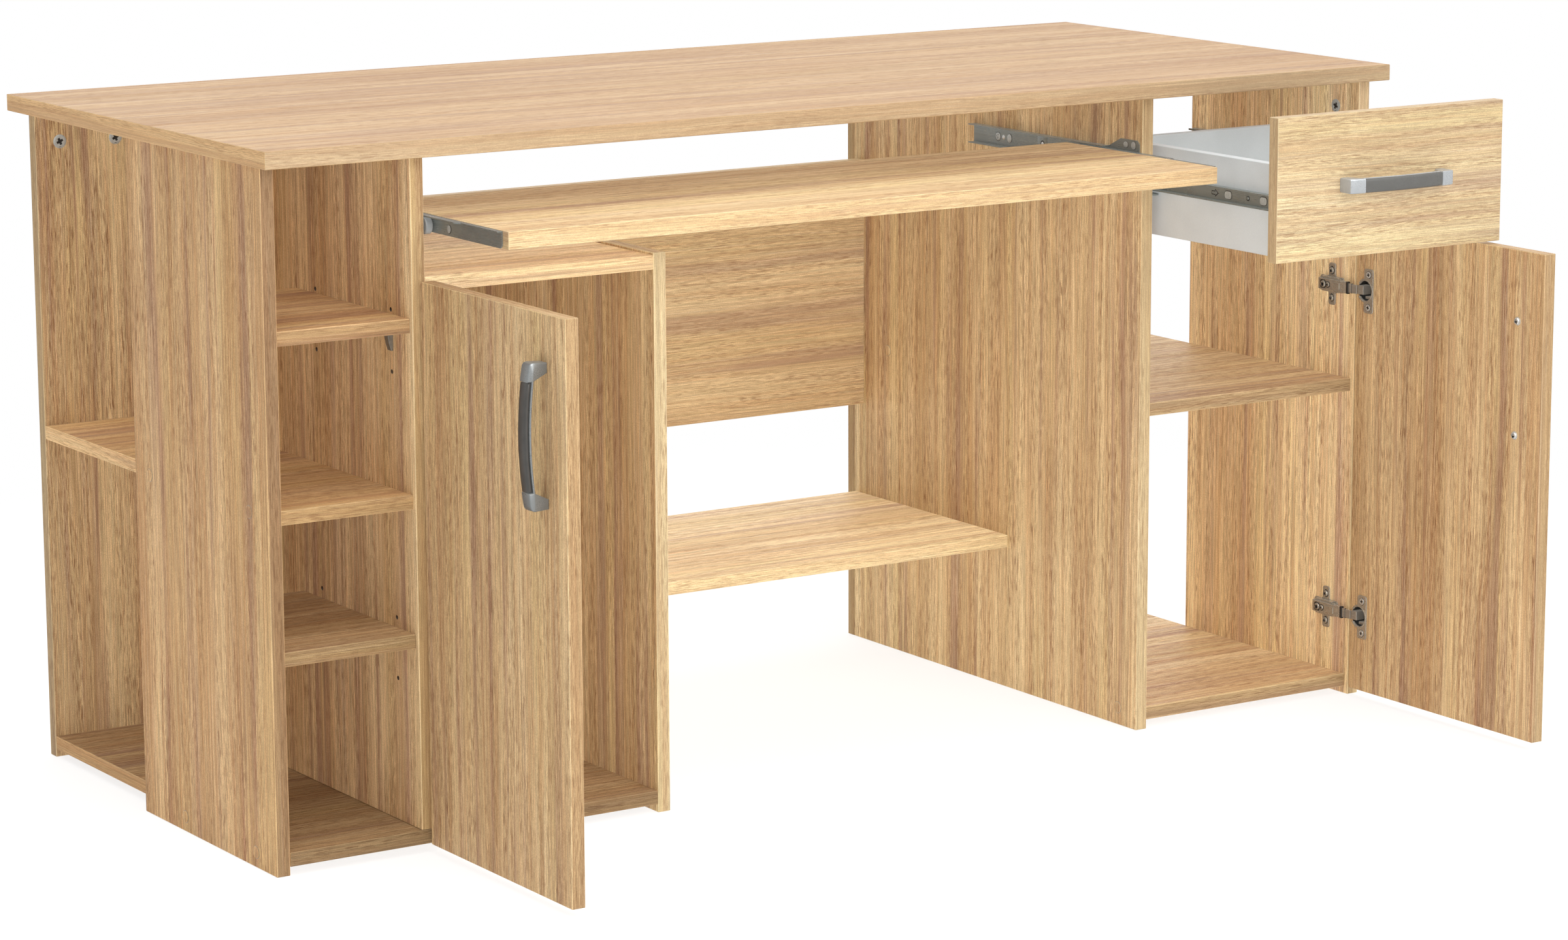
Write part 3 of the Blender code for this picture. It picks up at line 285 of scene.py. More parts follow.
def grey_board():
    made, n, sockets = shader("grey_melamine", IOR=1.48)
    place = n.place()
    cloud = n.noise(place, (60.0, 60.0, 60.0), 2.0)
    grit = n.noise(place, (0.9, 0.9, 0.9), 1.0)
    colour = n.blend(n.ease(cloud, 0.3, 0.7), tone(197, 201, 202), tone(189, 193, 194))
    n.set(sockets["Base Color"], n.scaled(colour, n.ease(grit, 0.3, 0.7, 0.975, 1.02)))
    n.set(sockets["Roughness"], n.ease(cloud, 0.3, 0.7, 0.42, 0.52))
    n.set(sockets["Normal"], n.bump(grit, 0.2, 0.00008))
    return made


def metal(name, light, dark, rough, stretch, metallic, grain=0.25):
    """Metal with fine drawn lines along one axis, given by the lengths of its streaks in millimetres."""
    made, n, sockets = shader(name, Metallic=metallic)
    place = n.place()
    lines = n.noise(place, stretch, 2.0)
    cloud = n.noise(place, (22.0, 22.0, 22.0), 2.0)
    n.set(sockets["Base Color"], n.blend(n.ease(lines, 0.3, 0.7), light, dark))
    n.set(sockets["Roughness"], n.math("ADD", n.ease(cloud, 0.3, 0.7, rough - 0.05, rough + 0.06),
                                       n.ease(lines, 0.3, 0.7, -0.03, 0.03)))
    n.set(sockets["Normal"], n.bump(lines, grain, 0.00005))
    return made


def moulded(name, light, dark, rough, grain, metallic=0.0):
    """Moulded plastic with a fine skin."""
    made, n, sockets = shader(name, Metallic=metallic, IOR=1.46)
    place = n.place()
    skin = n.noise(place, (0.5, 0.5, 0.5), 2.0)
    cloud = n.noise(place, (14.0, 14.0, 14.0), 2.0)
    colour = n.blend(n.ease(cloud, 0.3, 0.7), light, dark)
    n.set(sockets["Base Color"], n.scaled(colour, n.ease(skin, 0.25, 0.75, 0.98, 1.02)))
    n.set(sockets["Roughness"], n.math("ADD", n.ease(cloud, 0.3, 0.7, rough - 0.04, rough + 0.04),
                                       n.ease(skin, 0.3, 0.7, -0.03, 0.03)))
    n.set(sockets["Normal"], n.bump(skin, grain, 0.00006))
    return made


GREY_BOARD = grey_board()
ZINC = metal("zinc_plated", tone(126, 130, 126), tone(117, 121, 117), 0.3, (0.8, 60.0, 0.8), 0.35, 0.1)
NICKEL = metal("nickel_plated", tone(172, 165, 152), tone(156, 150, 139), 0.27, (2.4, 2.4, 2.4), 0.6, 0.03)
SILVER = moulded("silver_lacquer", tone(130, 133, 133), tone(126, 129, 129), 0.3, 0.01, 0.5)
GRIP = moulded("anthracite_grip", tone(64, 62, 59), tone(58, 56, 53), 0.34, 0.1)
# Lighter copies of the door handles' silver and grip for the drawer handle: painted light, for the brighter
# light that handle catches
LIT_SILVER = moulded("silver_lacquer_lit_copy", tone(166, 169, 171), tone(162, 165, 167), 0.3, 0.01, 0.4)
LIT_GRIP = moulded("grip_lit_copy", tone(88, 87, 84), tone(84, 83, 80), 0.3, 0.05)
ROLLER = moulded("grey_nylon", tone(140, 141, 140), tone(130, 131, 130), 0.45, 0.1)
# Black for painted shade: screw crosses, the cam locks' marks, holes, slots, rims round small parts and the
# hinge cups' insides
SHADE_BLACK = moulded("painted_shade_black", tone(34, 33, 32), tone(26, 25, 25), 0.4, 0.2)

FINISHES = {"grey_board": GREY_BOARD, "zinc_steel": ZINC, "nickel": NICKEL, "satin_silver": SILVER,
            "dark_grip": GRIP, "roller": ROLLER}

for node_name, node_object in NODES.items():
    for holder in node_object.material_slots:
        holder.material = BOARD_WOOD.get(node_name) or FINISHES[holder.material.name]

# Small parts are placed in millimetres from the left panel's outer face, the panels' fronts and the floor
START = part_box("left_side_panel")[0] / MM
START.z = 0.0
LEFTWARD, RIGHTWARD = (-1.0, 0.0, 0.0), (1.0, 0.0, 0.0)
FRONTWARD, REARWARD = (0.0, -1.0, 0.0), (0.0, 1.0, 0.0)
UPWARD = (0.0, 0.0, 1.0)


def seat(place, side, up, out):
    """Frame of a small part, with axes to the side, up and out of the surface that it sits on."""
    turn = Matrix((Vector(side), Vector(up), Vector(out))).transposed().to_4x4()
    return Matrix.Translation(START + Vector(place)) @ turn


def moved(base, *place):
    return base @ Matrix.Translation(place)


def on_side(base):
    """The same frame with its up and out axes swapped."""
    return base @ Matrix(((1, 0, 0, 0), (0, 0, 1, 0), (0, 1, 0, 0), (0, 0, 0, 1)))


def on_end(base):
    """The same frame looked at along its first axis."""
    return base @ Matrix(((0, 0, 1, 0), (1, 0, 0, 0), (0, 1, 0, 0), (0, 0, 0, 1)))


def oval(x, y, half_x, half_y, steps=20):
    turns = [2.0 * math.pi * index / steps for index in range(steps)]
    return [(x + half_x * math.cos(turn), y + half_y * math.sin(turn)) for turn in turns]


def arc(x, y, radius, start_deg, end_deg, steps):
    turns = [math.radians(start_deg + (end_deg - start_deg) * index / steps) for index in range(steps + 1)]
    return [(x + radius * math.cos(turn), y + radius * math.sin(turn)) for turn in turns]


def rounded(points, radius, steps=4):
    """Outline with its corners rounded."""
    made = []
    for index, corner in enumerate(points):
        corner = Vector(corner)
        before = Vector(points[index - 1]) - corner
        after = Vector(points[(index + 1) % len(points)]) - corner
        reach = min(radius, 0.45 * before.length, 0.45 * after.length)
        first, last = corner + before.normalized() * reach, corner + after.normalized() * reach
        for step in range(steps + 1):
            share = step / steps
            rest = 1 - share
            made.append(tuple(first * rest ** 2 + corner * 2 * share * rest + last * share ** 2))
    return made


def block(low_x, high_x, low_y, high_y, radius):
    return rounded([(low_x, low_y), (high_x, low_y), (high_x, high_y), (low_x, high_y)], radius)


def drawn_in(points, distance):
    """Outline moved inwards by a distance."""
    area = sum(a[0] * b[1] - a[1] * b[0] for a, b in zip(points, points[1:] + points[:1]))
    way = distance if area > 0.0 else -distance
    made = []
    for index, point in enumerate(points):
        before = (Vector(point) - Vector(points[index - 1])).normalized()
        after = (Vector(points[(index + 1) % len(points)]) - Vector(point)).normalized()
        normal = Vector((-before.y - after.y, before.x + after.x))
        spread = max(normal.length_squared / 2.0, 0.5)
        made.append(tuple(Vector(point) + normal * (way / spread)))
    return made


def both_ways(levels):
    """Levels of a plate that is the same on both sides of its middle, from those of one side."""
    return [(-height, draw) for height, draw in levels] + levels[::-1]


# Recess of a cross-headed screw in shares of its reach, how much it narrows, and its finish in the list,
# black as painted shade
CROSS = ((1.0, -0.32), (1.0, 0.32), (0.38, 0.38), (0.32, 1.0), (-0.32, 1.0), (-0.38, 0.38),
         (-1.0, 0.32), (-1.0, -0.32), (-0.38, -0.38), (-0.32, -1.0), (0.32, -1.0), (0.38, -0.38))
CROSS_NARROWS = 0.72
SHADED_RECESS_SLOT = 1
SHARP_DEG = 34.0


class Form:
    """A mesh in the making, from closed shapes that are each drawn in the frame they sit in."""

    def __init__(self):
        self.mesh = bmesh.new()

    def add(self, base, points, faces, slot=0):
        made = [self.mesh.verts.new((base @ Vector(point)) * MM) for point in points]
        for face in faces:
            self.mesh.faces.new([made[index] for index in face]).material_index = slot

    def turned(self, base, profile, slot=0, steps=24, cross=None):
        """Round shape from pairs of radius and height. A cross is cut into its last, flat face."""
        points, rows, faces = [], [], []
        for radius, height in profile:
            count = steps if radius else 1
            rows.append(range(len(points), len(points) + count))
            points += [(x, y, height) for x, y in oval(0.0, 0.0, radius, radius, count)]
        for low, high in zip(rows, rows[1:]):
            for index in range(steps):
                after = (index + 1) % steps
                ring = (low[index % len(low)], low[after % len(low)],
                        high[after % len(high)], high[index % len(high)])
                faces.append(list(dict.fromkeys(ring)))
        if cross is None:
            self.add(base, points, faces, slot)
            return
        reach, depth, turn_deg = cross
        top = profile[-1][1]
        spin = Matrix.Rotation(math.radians(turn_deg), 2)
        marks = [spin @ Vector(mark) * reach for mark in CROSS]
        rim = list(rows[-1])
        brink = list(range(len(points), len(points) + len(marks)))
        points += [(mark.x, mark.y, top) for mark in marks]
        deep = list(range(len(points), len(points) + len(marks)))
        points += [(mark.x * CROSS_NARROWS, mark.y * CROSS_NARROWS, top - depth) for mark in marks]
        loops = [[Vector(points[index]).to_2d().to_3d() for index in loop] for loop in (rim, brink)]
        for corners in tessellate_polygon(loops):
            faces.append([(rim + brink)[index] for index in corners])
        plain = len(faces)
        for index in range(len(marks)):
            faces.append([brink[index - 1], brink[index], deep[index], deep[index - 1]])
        for corners in tessellate_polygon([[Vector(points[index]).to_2d().to_3d() for index in deep]]):
            faces.append([deep[index] for index in corners])
        before = len(self.mesh.faces)
        self.add(base, points, faces, slot)
        self.mesh.faces.ensure_lookup_table()
        for index in range(before + plain, len(self.mesh.faces)):
            self.mesh.faces[index].material_index = SHADED_RECESS_SLOT

    def prism(self, base, outlines, levels, slot=0):
        """Plate from an outline and its holes. Levels pair a height with how far the outline draws in."""
        points, faces, loops = [], [], []
        for height, draw in levels:
            row = [drawn_in(outlines[0], draw) if draw else outlines[0]] + list(outlines[1:])
            loops.append(row)
            points += [(x, y, height) for loop in row for x, y in loop]
        count = sum(len(loop) for loop in outlines)
        for level in range(len(levels) - 1):
            start = level * count
            for loop in outlines:
                size = len(loop)
                for index in range(size):
                    after = (index + 1) % size
                    faces.append([start + index, start + after, start + count + after, start + count + index])
                start += size
        for level in (0, len(levels) - 1):
            flat = [[Vector((x, y, 0.0)) for x, y in loop] for loop in loops[level]]
            faces += [[level * count + index for index in corners] for corners in tessellate_polygon(flat)]
        self.add(base, points, faces, slot)

    def screw(self, base, radius, height, turn_deg):
        """Round-headed screw with a cross recess, with its seat at the frame's origin."""
        profile = [(0.0, 0.0), (radius, 0.0), (radius, height * 0.3), (radius * 0.94, height * 0.62),
                   (radius * 0.8, height * 0.88), (radius * 0.64, height)]
        self.turned(base, profile, cross=(radius * 0.62, min(height, radius) * 0.6, turn_deg))

    def piece(self, name, body, finishes, stands_for=None):
        bmesh.ops.recalc_face_normals(self.mesh, faces=self.mesh.faces)
        data = bpy.data.meshes.new(name)
        self.mesh.to_mesh(data)
        self.mesh.free()
        for finish in finishes:
            data.materials.append(finish)
        data.shade_smooth()
        data.set_sharp_from_angle(angle=math.radians(SHARP_DEG))
        made = bpy.data.objects.new(name, data)
        bpy.context.scene.collection.objects.link(made)
        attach(made, body)
        if stands_for:
            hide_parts(stands_for)


CAST = metal("die_cast_zinc", tone(182, 186, 184), tone(168, 172, 170), 0.42, (2.0, 2.0, 2.0), 0.4)
SCREW = metal("screw_zinc", tone(206, 206, 203), tone(184, 185, 183), 0.3, (1.6, 1.6, 1.6), 0.6, 0.1)
LINK = metal("hinge_link", tone(150, 142, 131), tone(136, 128, 118), 0.34, (0.6, 12.0, 0.6), 0.35, 0.1)
PIN_STEEL = metal("pin_steel", tone(128, 123, 113), tone(114, 110, 101), 0.32, (3.0, 3.0, 3.0), 0.4, 0.05)

# Round cover caps over the joining screws, on the outer faces of the uprights, each in a thin dark ring of
# painted shade
LEFT_OUT, RIGHT_OUT = 0.0, 1410.6
CENTRE_LEFT_FACE = 1085.4
CAPS = [(LEFT_OUT, LEFTWARD, ((211.0, 16.0), (46.5, 16.0), (273.5, 370.0), (42.7, 370.0))),
        (CENTRE_LEFT_FACE, LEFTWARD, ((34.5, 20.0), (501.4, 367.7))),
        (RIGHT_OUT, RIGHTWARD, ((211.0, 16.5), (46.5, 16.5), (273.5, 367.7), (42.7, 367.7)))]
CAP_SHADE_RING = [(0.0, 0.0), (6.9, 0.0), (6.9, 0.1), (6.45, 0.12), (0.0, 0.12)]
CAP_DISC = [(0.0, 0.05), (6.45, 0.05), (6.45, 0.4), (6.1, 0.6), (0.0, 0.65)]
form = Form()
for panel, (face, out, places) in enumerate(CAPS):
    for y, z in places:
        base = seat((face, y, z), REARWARD, UPWARD, out)
        form.turned(base, CAP_SHADE_RING, len(CAPS))
        form.turned(base, CAP_DISC, panel)
CAP_PANELS = ("left_side_panel", "centre_right_panel", "right_side_panel")
form.piece("cover_caps", "carcass", [BOARD_WOOD[panel] for panel in CAP_PANELS] + [LINK])

# Cam locks that hold the top to the rear panel and the right panel
REAR_PANEL_FACE, RIGHT_PANEL_IN = 572.6, 1395.6
CAMS = [((44.0, REAR_PANEL_FACE, 687.0), RIGHTWARD, FRONTWARD),
        ((110.0, REAR_PANEL_FACE, 687.0), RIGHTWARD, FRONTWARD),
        ((RIGHT_PANEL_IN, 41.0, 688.0), REARWARD, LEFTWARD)]
CAM_HEAD = [(0.0, 0.02), (7.6, 0.02), (7.6, 0.3), (7.3, 0.5), (4.9, 0.5)]
CAM_CROSS = (3.9, 0.45, 24.0)
CAM_MARK = arc(0.0, 2.6, 3.0, 245.0, 295.0, 6) + arc(0.0, 2.6, 2.5, 295.0, 245.0, 6)
form = Form()
for place, side, out in CAMS:
    base = seat(place, side, UPWARD, out)
    form.turned(base, CAM_HEAD, 0, 28, CAM_CROSS)
    form.prism(moved(base, 0.0, -5.9, 0.45), [CAM_MARK], [(0.0, 0.0), (0.1, 0.0)], 1)
form.piece("cam_locks", "carcass", [CAST, SHADE_BLACK])

# Spoon pins that carry the two bookcase shelves
BOOKCASE_FACES = ((15.0, RIGHTWARD), (166.5, LEFTWARD))
PIN_COLUMNS = (46.0, 212.5)
PIN_PITCH = 32.0
PIN_GAP = 0.05
HOLE_LEVELS = {"bookcase_shelf_upper": 528.0, "bookcase_shelf_lower": 208.0}
SPOON_DROPS = {"bookcase_shelf_upper": 23.0, "bookcase_shelf_lower": 9.4}
SPOON_ACROSS = both_ways([(4.4, 0.6), (4.0, 0.15), (3.4, 0.0)])
PIN_PAD = block(-4.4, 4.4, 0.15, 7.0, 1.6)
PIN_SHANK = [(0.0, -8.0), (2.3, -8.0), (2.3, 0.3), (0.0, 0.3)]
form = Form()
for shelf, hole_z in HOLE_LEVELS.items():
    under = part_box(shelf)[0].z / MM - PIN_GAP
    drop = SPOON_DROPS[shelf]
    spoon = [(-0.1, 0.15), (-0.1, 6.6), (-0.3 * drop, 6.3), (-0.72 * drop, 4.6), (-drop, 2.4), (-drop, 0.15)]
    for face, out in BOOKCASE_FACES:
        for y in PIN_COLUMNS:
            base = seat((face, y, under), REARWARD, UPWARD, out)
            form.prism(on_end(base), [rounded(spoon, 1.4)], SPOON_ACROSS)
            form.prism(on_side(base), [PIN_PAD], [(-1.8, 0.3), (-1.5, 0.0), (0.0, 0.0)])
            form.turned(moved(base, 0.0, hole_z - under, 0.0), PIN_SHANK)
form.piece("shelf_pins", "carcass", [PIN_STEEL])

# Dark cups in the rows of pin holes: painted shade for the holes' insides
HOLE_SHADE = moulded("pin_hole_shade_finish", tone(52, 36, 24), tone(44, 30, 20), 0.6, 0.2)
HOLE_SHADE_WALL = [(0.0, -8.7), (2.42, -8.7), (2.42, -0.25), (2.1, -0.25), (2.1, -8.2), (0.0, -8.2)]
form = Form()
for face, out in BOOKCASE_FACES:
    for hole_z in HOLE_LEVELS.values():
        for y in PIN_COLUMNS:
            for step in (-PIN_PITCH, PIN_PITCH):
                base = seat((face, y, hole_z + step), REARWARD, UPWARD, out)
                form.turned(base, HOLE_SHADE_WALL, 0, 16)
form.piece("pin_hole_shade", "carcass", [HOLE_SHADE])


# Middles of the handles, and the way from there to their screws
LEFT_HANDLE_Y, LEFT_HANDLE_Z = -248.0, 475.0
RIGHT_HANDLE_Y, RIGHT_HANDLE_Z = -280.3, 416.0
DRAWER_HANDLE_X, DRAWER_HANDLE_Z = 1252.0, 641.0
SCREW_WAYS = (-64.0, 64.0)
DRAWER_FRONT_IN = -212.0


# Screws of the handles, seen on the inner faces of the doors and of the drawer front
def handle_screws(name, body, places, side, up, out):
    form = Form()
    washer = [(0.0, 0.0), (4.7, 0.0), (4.7, 0.25), (4.4, 0.45), (0.0, 0.45)]
    for place, turn_deg in zip(places, (20.0, 65.0)):
        base = seat(place, side, up, out)
        form.turned(base, washer)
        form.screw(moved(base, 0.0, 0.0, 0.4), 4.1, 2.1, turn_deg)
    form.piece(name, body, [SCREW, SHADE_BLACK])


LEFT_DOOR_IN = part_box("left_door")[1].x / MM - START.x
RIGHT_DOOR_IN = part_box("right_door")[0].x / MM - START.x
handle_screws("left_door_screws", "left_door",
              [(LEFT_DOOR_IN, LEFT_HANDLE_Y, LEFT_HANDLE_Z + way) for way in SCREW_WAYS],
              REARWARD, UPWARD, RIGHTWARD)
handle_screws("right_door_screws", "right_door",
              [(RIGHT_DOOR_IN, RIGHT_HANDLE_Y, RIGHT_HANDLE_Z + way) for way in SCREW_WAYS],
              REARWARD, UPWARD, LEFTWARD)
handle_screws("drawer_screws", "drawer",
              [(DRAWER_HANDLE_X + way, DRAWER_FRONT_IN, DRAWER_HANDLE_Z) for way in SCREW_WAYS],
              RIGHTWARD, UPWARD, REARWARD)


# Bow handles with softly rounded edges: silver ends and back strip, and a barrel-faced grip
def handle(name, body, base, silver, grip):
    """Handle drawn along its length and out of the surface, with its width across."""
    half, end_out, mid_out, thick = 73.0, 19.5, 26.0, 7.5
    grip_half, grip_thick, play = 54.0, 4.6, 0.3
    foot_out, foot_in, back_half = 72.0, 62.0, 55.0

    def bow(along):
        return mid_out - (mid_out - end_out) * (along / half) ** 2

    steps = [grip_half * (index / 8.0 - 1.0) for index in range(17)]
    strip = grip_thick + play
    lip = grip_half + play
    right = [(lip, bow(lip) - strip), (lip, bow(lip)), (half - 6.0, bow(half - 6.0)),
             (half - 3.0, bow(half - 3.0) - 0.2), (half - 0.9, end_out - 1.2), (half, end_out - 4.0),
             (foot_out, play), (foot_in, play)]
    left = [(-along, out) for along, out in reversed(right)]
    front = [(along, bow(along) - strip) for along in steps[1:-1]]
    rear = [(along * back_half / grip_half, bow(along) - thick) for along in reversed(steps)]
    form = Form()
    across = both_ways([(8.0, 1.0), (7.7, 0.45), (7.2, 0.13), (6.4, 0.0)])
    form.prism(base, [front + right + rear + left], across)
    form.piece(name + "_handle_detail", body, [silver], name + "_handle")
    form = Form()
    face = [(along, bow(along)) for along in steps]
    back = [(along, bow(along) - grip_thick) for along in reversed(steps)]
    barrel = [(7.7, 1.7), (7.3, 1.0), (6.3, 0.5), (4.4, 0.17), (2.2, 0.03)]
    form.prism(base, [face + back], both_ways(barrel))
    form.piece(name + "_handle_grip_detail", body, [grip], name + "_handle_grip")


LEFT_DOOR_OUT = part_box("left_door")[0].x / MM - START.x
RIGHT_DOOR_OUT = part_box("right_door")[1].x / MM - START.x
DRAWER_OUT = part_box("drawer_front")[0].y / MM - START.y
handle("left_door", "left_door",
       seat((LEFT_DOOR_OUT, LEFT_HANDLE_Y, LEFT_HANDLE_Z), UPWARD, LEFTWARD, FRONTWARD), SILVER, GRIP)
handle("right_door", "right_door",
       seat((RIGHT_DOOR_OUT, RIGHT_HANDLE_Y, RIGHT_HANDLE_Z), UPWARD, RIGHTWARD, FRONTWARD), SILVER, GRIP)
# The drawer handle takes the lighter copies of the silver and grip, painted light
handle("drawer", "drawer",
       seat((DRAWER_HANDLE_X, DRAWER_OUT, DRAWER_HANDLE_Z), RIGHTWARD, FRONTWARD, UPWARD),
       LIT_SILVER, LIT_GRIP)


# Concealed hinges
def hinge_plate(name, base):
    """Cross plate with its two wings, their screws in slots, and the channel that takes the arm."""
    middle, half_l, half_h, wing, tip, slot_h = 40.0, 21.0, 9.0, 6.0, 24.5, 16.0
    right = [(wing, tip), (wing, half_h), (half_l, half_h), (half_l, -half_h), (wing, -half_h), (wing, -tip)]
    left = [(-across, up) for across, up in reversed(right)]
    cross = [(middle + across, up) for across, up in left[-1:] + right + left[:-1]]
    slots = [oval(middle, way * slot_h, 3.3, 4.8) for way in (-1, 1)]
    washer = [(0.0, 0.0), (4.6, 0.0), (4.5, 0.25), (0.0, 0.25)]
    form = Form()
    form.prism(base, [rounded(cross, 3.2)] + slots, [(0.3, 0.0), (1.3, 0.0), (1.7, 0.5)])
    for way in (-1, 1):
        # Dark in the slots and dark discs under the screws: painted shade and painted shadow
        form.prism(base, [oval(middle, way * slot_h, 3.25, 4.75)], [(0.3, 0.0), (0.8, 0.0)], 1)
        form.turned(moved(base, middle, way * slot_h - 0.3, 1.55), washer, 1)
        form.screw(moved(base, middle, way * slot_h - 0.3, 1.7), 3.8, 2.0, 15.0 + 25.0 * way)
        form.prism(base, [block(24.0, 53.0, way * 8.0 - 0.8, way * 8.0 + 0.8, 0.4)],
                   [(1.5, 0.0), (5.7, 0.0), (6.1, 0.35)])
    form.prism(base, [block(21.0, 59.0, -7.1, 7.1, 1.5)], [(1.5, 0.0), (3.9, 0.0), (4.4, 0.5)])
    form.piece(name + "_plate_detail", "carcass", [NICKEL, SHADE_BLACK], name + "_plate")


def hinge_arm(name, base, link_off):
    """Folded arm with its two adjusting screws, the bush at its end and the link to the cup."""
    low = 2.0
    crown = max(link_off + 2.0, low + 7.2)
    side = [(57.0, low), (57.0, low + 6.0), (51.5, crown), (17.0, crown), (6.0, link_off + 2.7),
            (6.0, link_off - 0.5), (16.0, link_off - 1.2), (23.0, low)]
    form = Form()
    form.prism(on_side(base), [rounded(side, 1.0)], both_ways([(6.8, 0.7), (6.2, 0.0)]))
    form.prism(base, [block(17.5, 33.5, -4.4, 4.4, 1.2)],
               [(crown - 0.3, 0.0), (crown + 0.3, 0.0), (crown + 0.6, 0.4)])
    # Black round the adjusting screws: painted shade in their recesses
    form.prism(base, [block(42.0, 52.0, -5.0, 5.0, 3.0)], [(crown - 0.6, 0.0), (crown + 0.15, 0.0)], 1)
    form.prism(base, [oval(38.6, 0.0, 3.9, 3.9)], [(crown - 0.6, 0.0), (crown + 0.15, 0.0)], 1)
    form.screw(moved(base, 46.6, 0.0, crown), 4.1, 1.7, 30.0)
    form.screw(moved(base, 38.6, 0.0, crown), 3.0, 1.3, 5.0)
    for way in (-1, 1):
        form.prism(base, [block(19.0, 55.0, way * 7.3 - 0.6, way * 7.3 + 0.6, 0.3)],
                   [(crown - 3.4, 0.0), (crown - 2.6, 0.3)])
    form.prism(on_end(base), [block(-7.1, 7.1, link_off - 1.0, link_off + 3.1, 0.8)],
               [(4.6, 0.3), (4.9, 0.0), (7.6, 0.0), (7.9, 0.3)], 1)
    form.prism(base, [block(-0.4, 6.0, -5.5, 5.5, 0.4)],
               [(link_off, 0.3), (link_off + 1.6, 0.0), (link_off + 2.0, 0.4)], 2)
    form.prism(base, [block(-10.0, -1.0, -5.2, 5.2, 0.4)],
               [(link_off + 0.1, 0.3), (link_off + 1.6, 0.0), (link_off + 2.0, 0.4)], 2)
    pin = moved(on_side(base), -0.7, link_off + 0.95, 0.0)
    form.turned(pin, [(0.0, -5.7), (0.8, -5.7), (0.95, -5.5), (0.95, 5.5), (0.8, 5.7), (0.0, 5.7)], 1, 14)
    form.piece(name + "_arm_detail", "carcass", [NICKEL, SHADE_BLACK, LINK], name + "_arm")


def hinge_cup(name, body, base):
    """Cup sunk in the door, with its flange, two screws, the raised lip and the knuckle of the link."""
    centre, mouth = 17.5, 143.0
    form = Form()
    # Inside of the cup in black: painted shade
    shaded_cup = [(0.0, -11.0), (13.0, -11.0), (13.0, -0.2), (12.2, -0.2), (12.2, -10.2), (0.0, -10.2)]
    form.turned(moved(base, centre, 0.0, 0.0), shaded_cup, 1, 28)
    collar = arc(centre, 0.0, 12.8, -mouth, mouth, 26) + arc(centre, 0.0, 11.9, mouth, -mouth, 26)
    form.prism(base, [collar], [(-1.0, 0.0), (0.9, 0.0)])
    flange = arc(centre, 0.0, 14.0, 99.0, mouth + 5.0, 6)
    flange += arc(centre, 0.0, 11.6, mouth, -mouth, 26)
    flange += arc(centre, 0.0, 14.0, 355.0 - mouth, 261.0, 6)
    ear = [(15.5, -14.0), (15.5, -25.7), (31.4, -25.7), (31.4, 25.7), (15.5, 25.7), (15.5, 14.0)]
    flange += rounded(ear, 3.6)[5:-5]
    form.prism(base, [flange], [(0.3, 0.0), (1.1, 0.0), (1.5, 0.4)])
    lip = arc(centre, 0.0, 13.2, -mouth, mouth, 26) + arc(centre, 0.0, 11.8, mouth, -mouth, 26)
    form.prism(base, [lip], [(1.3, 0.0), (1.8, 0.0), (2.0, 0.25)])
    for way in (-1, 1):
        spot = moved(base, 23.4, way * 19.0, 1.4)
        # Dark disc under each screw: painted shadow
        form.turned(spot, [(0.0, 0.0), (4.5, 0.0), (4.3, 0.3), (0.0, 0.3)], 1)
        form.turned(spot, [(0.0, 0.1), (4.0, 0.1), (3.8, 0.55), (2.9, 0.6)], 3, 24, (2.1, 0.45, 10.0 * way))
    form.prism(base, [block(5.0, 14.5, -5.2, 5.2, 0.6)], [(-9.8, 0.0), (1.2, 0.0), (1.7, 0.5)], 2)
    form.prism(base, [block(13.0, 22.0, -10.2, -7.0, 0.6)], [(-9.8, 0.0), (-3.4, 0.0), (-3.0, 0.4)], 2)
    form.piece(name + "_cup_detail", body, [NICKEL, SHADE_BLACK, LINK, SCREW], name + "_cup")


# Hinges of each door: name, door, the two faces they sit on, which way they look, how far out the link is
DIVIDER_FACE = 181.5
DOOR_HINGES = (("left_hinge", "left_door", DIVIDER_FACE, LEFT_DOOR_IN, RIGHTWARD, 9.8),
               ("right_hinge", "right_door", RIGHT_PANEL_IN, RIGHT_DOOR_IN, LEFTWARD, 4.6))
for prefix, body, face, door_face, out, link_off in DOOR_HINGES:
    hinge_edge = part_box(body)[1].y / MM - START.y
    for level in ("lower", "upper"):
        name = prefix + "_" + level
        low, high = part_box(name + "_plate")
        z = (low.z + high.z) / 2.0 / MM
        hinge_plate(name, seat((face, 0.0, z), REARWARD, UPWARD, out))
        hinge_arm(name, seat((face, 0.0, z), REARWARD, UPWARD, out), link_off)
        hinge_cup(name, body, seat((door_face, hinge_edge, z), FRONTWARD, UPWARD, out))

# Screws, stamped places and end plates on the tray rails, kept thin because the rollers run over them
RAIL_FACES = ((183.0, RIGHTWARD), (1083.9, LEFTWARD))
RAIL_Z = 650.9
TAB_HOLES = 15.1
RAIL_SCREW, RAIL_STAMP = 272.0, 184.5
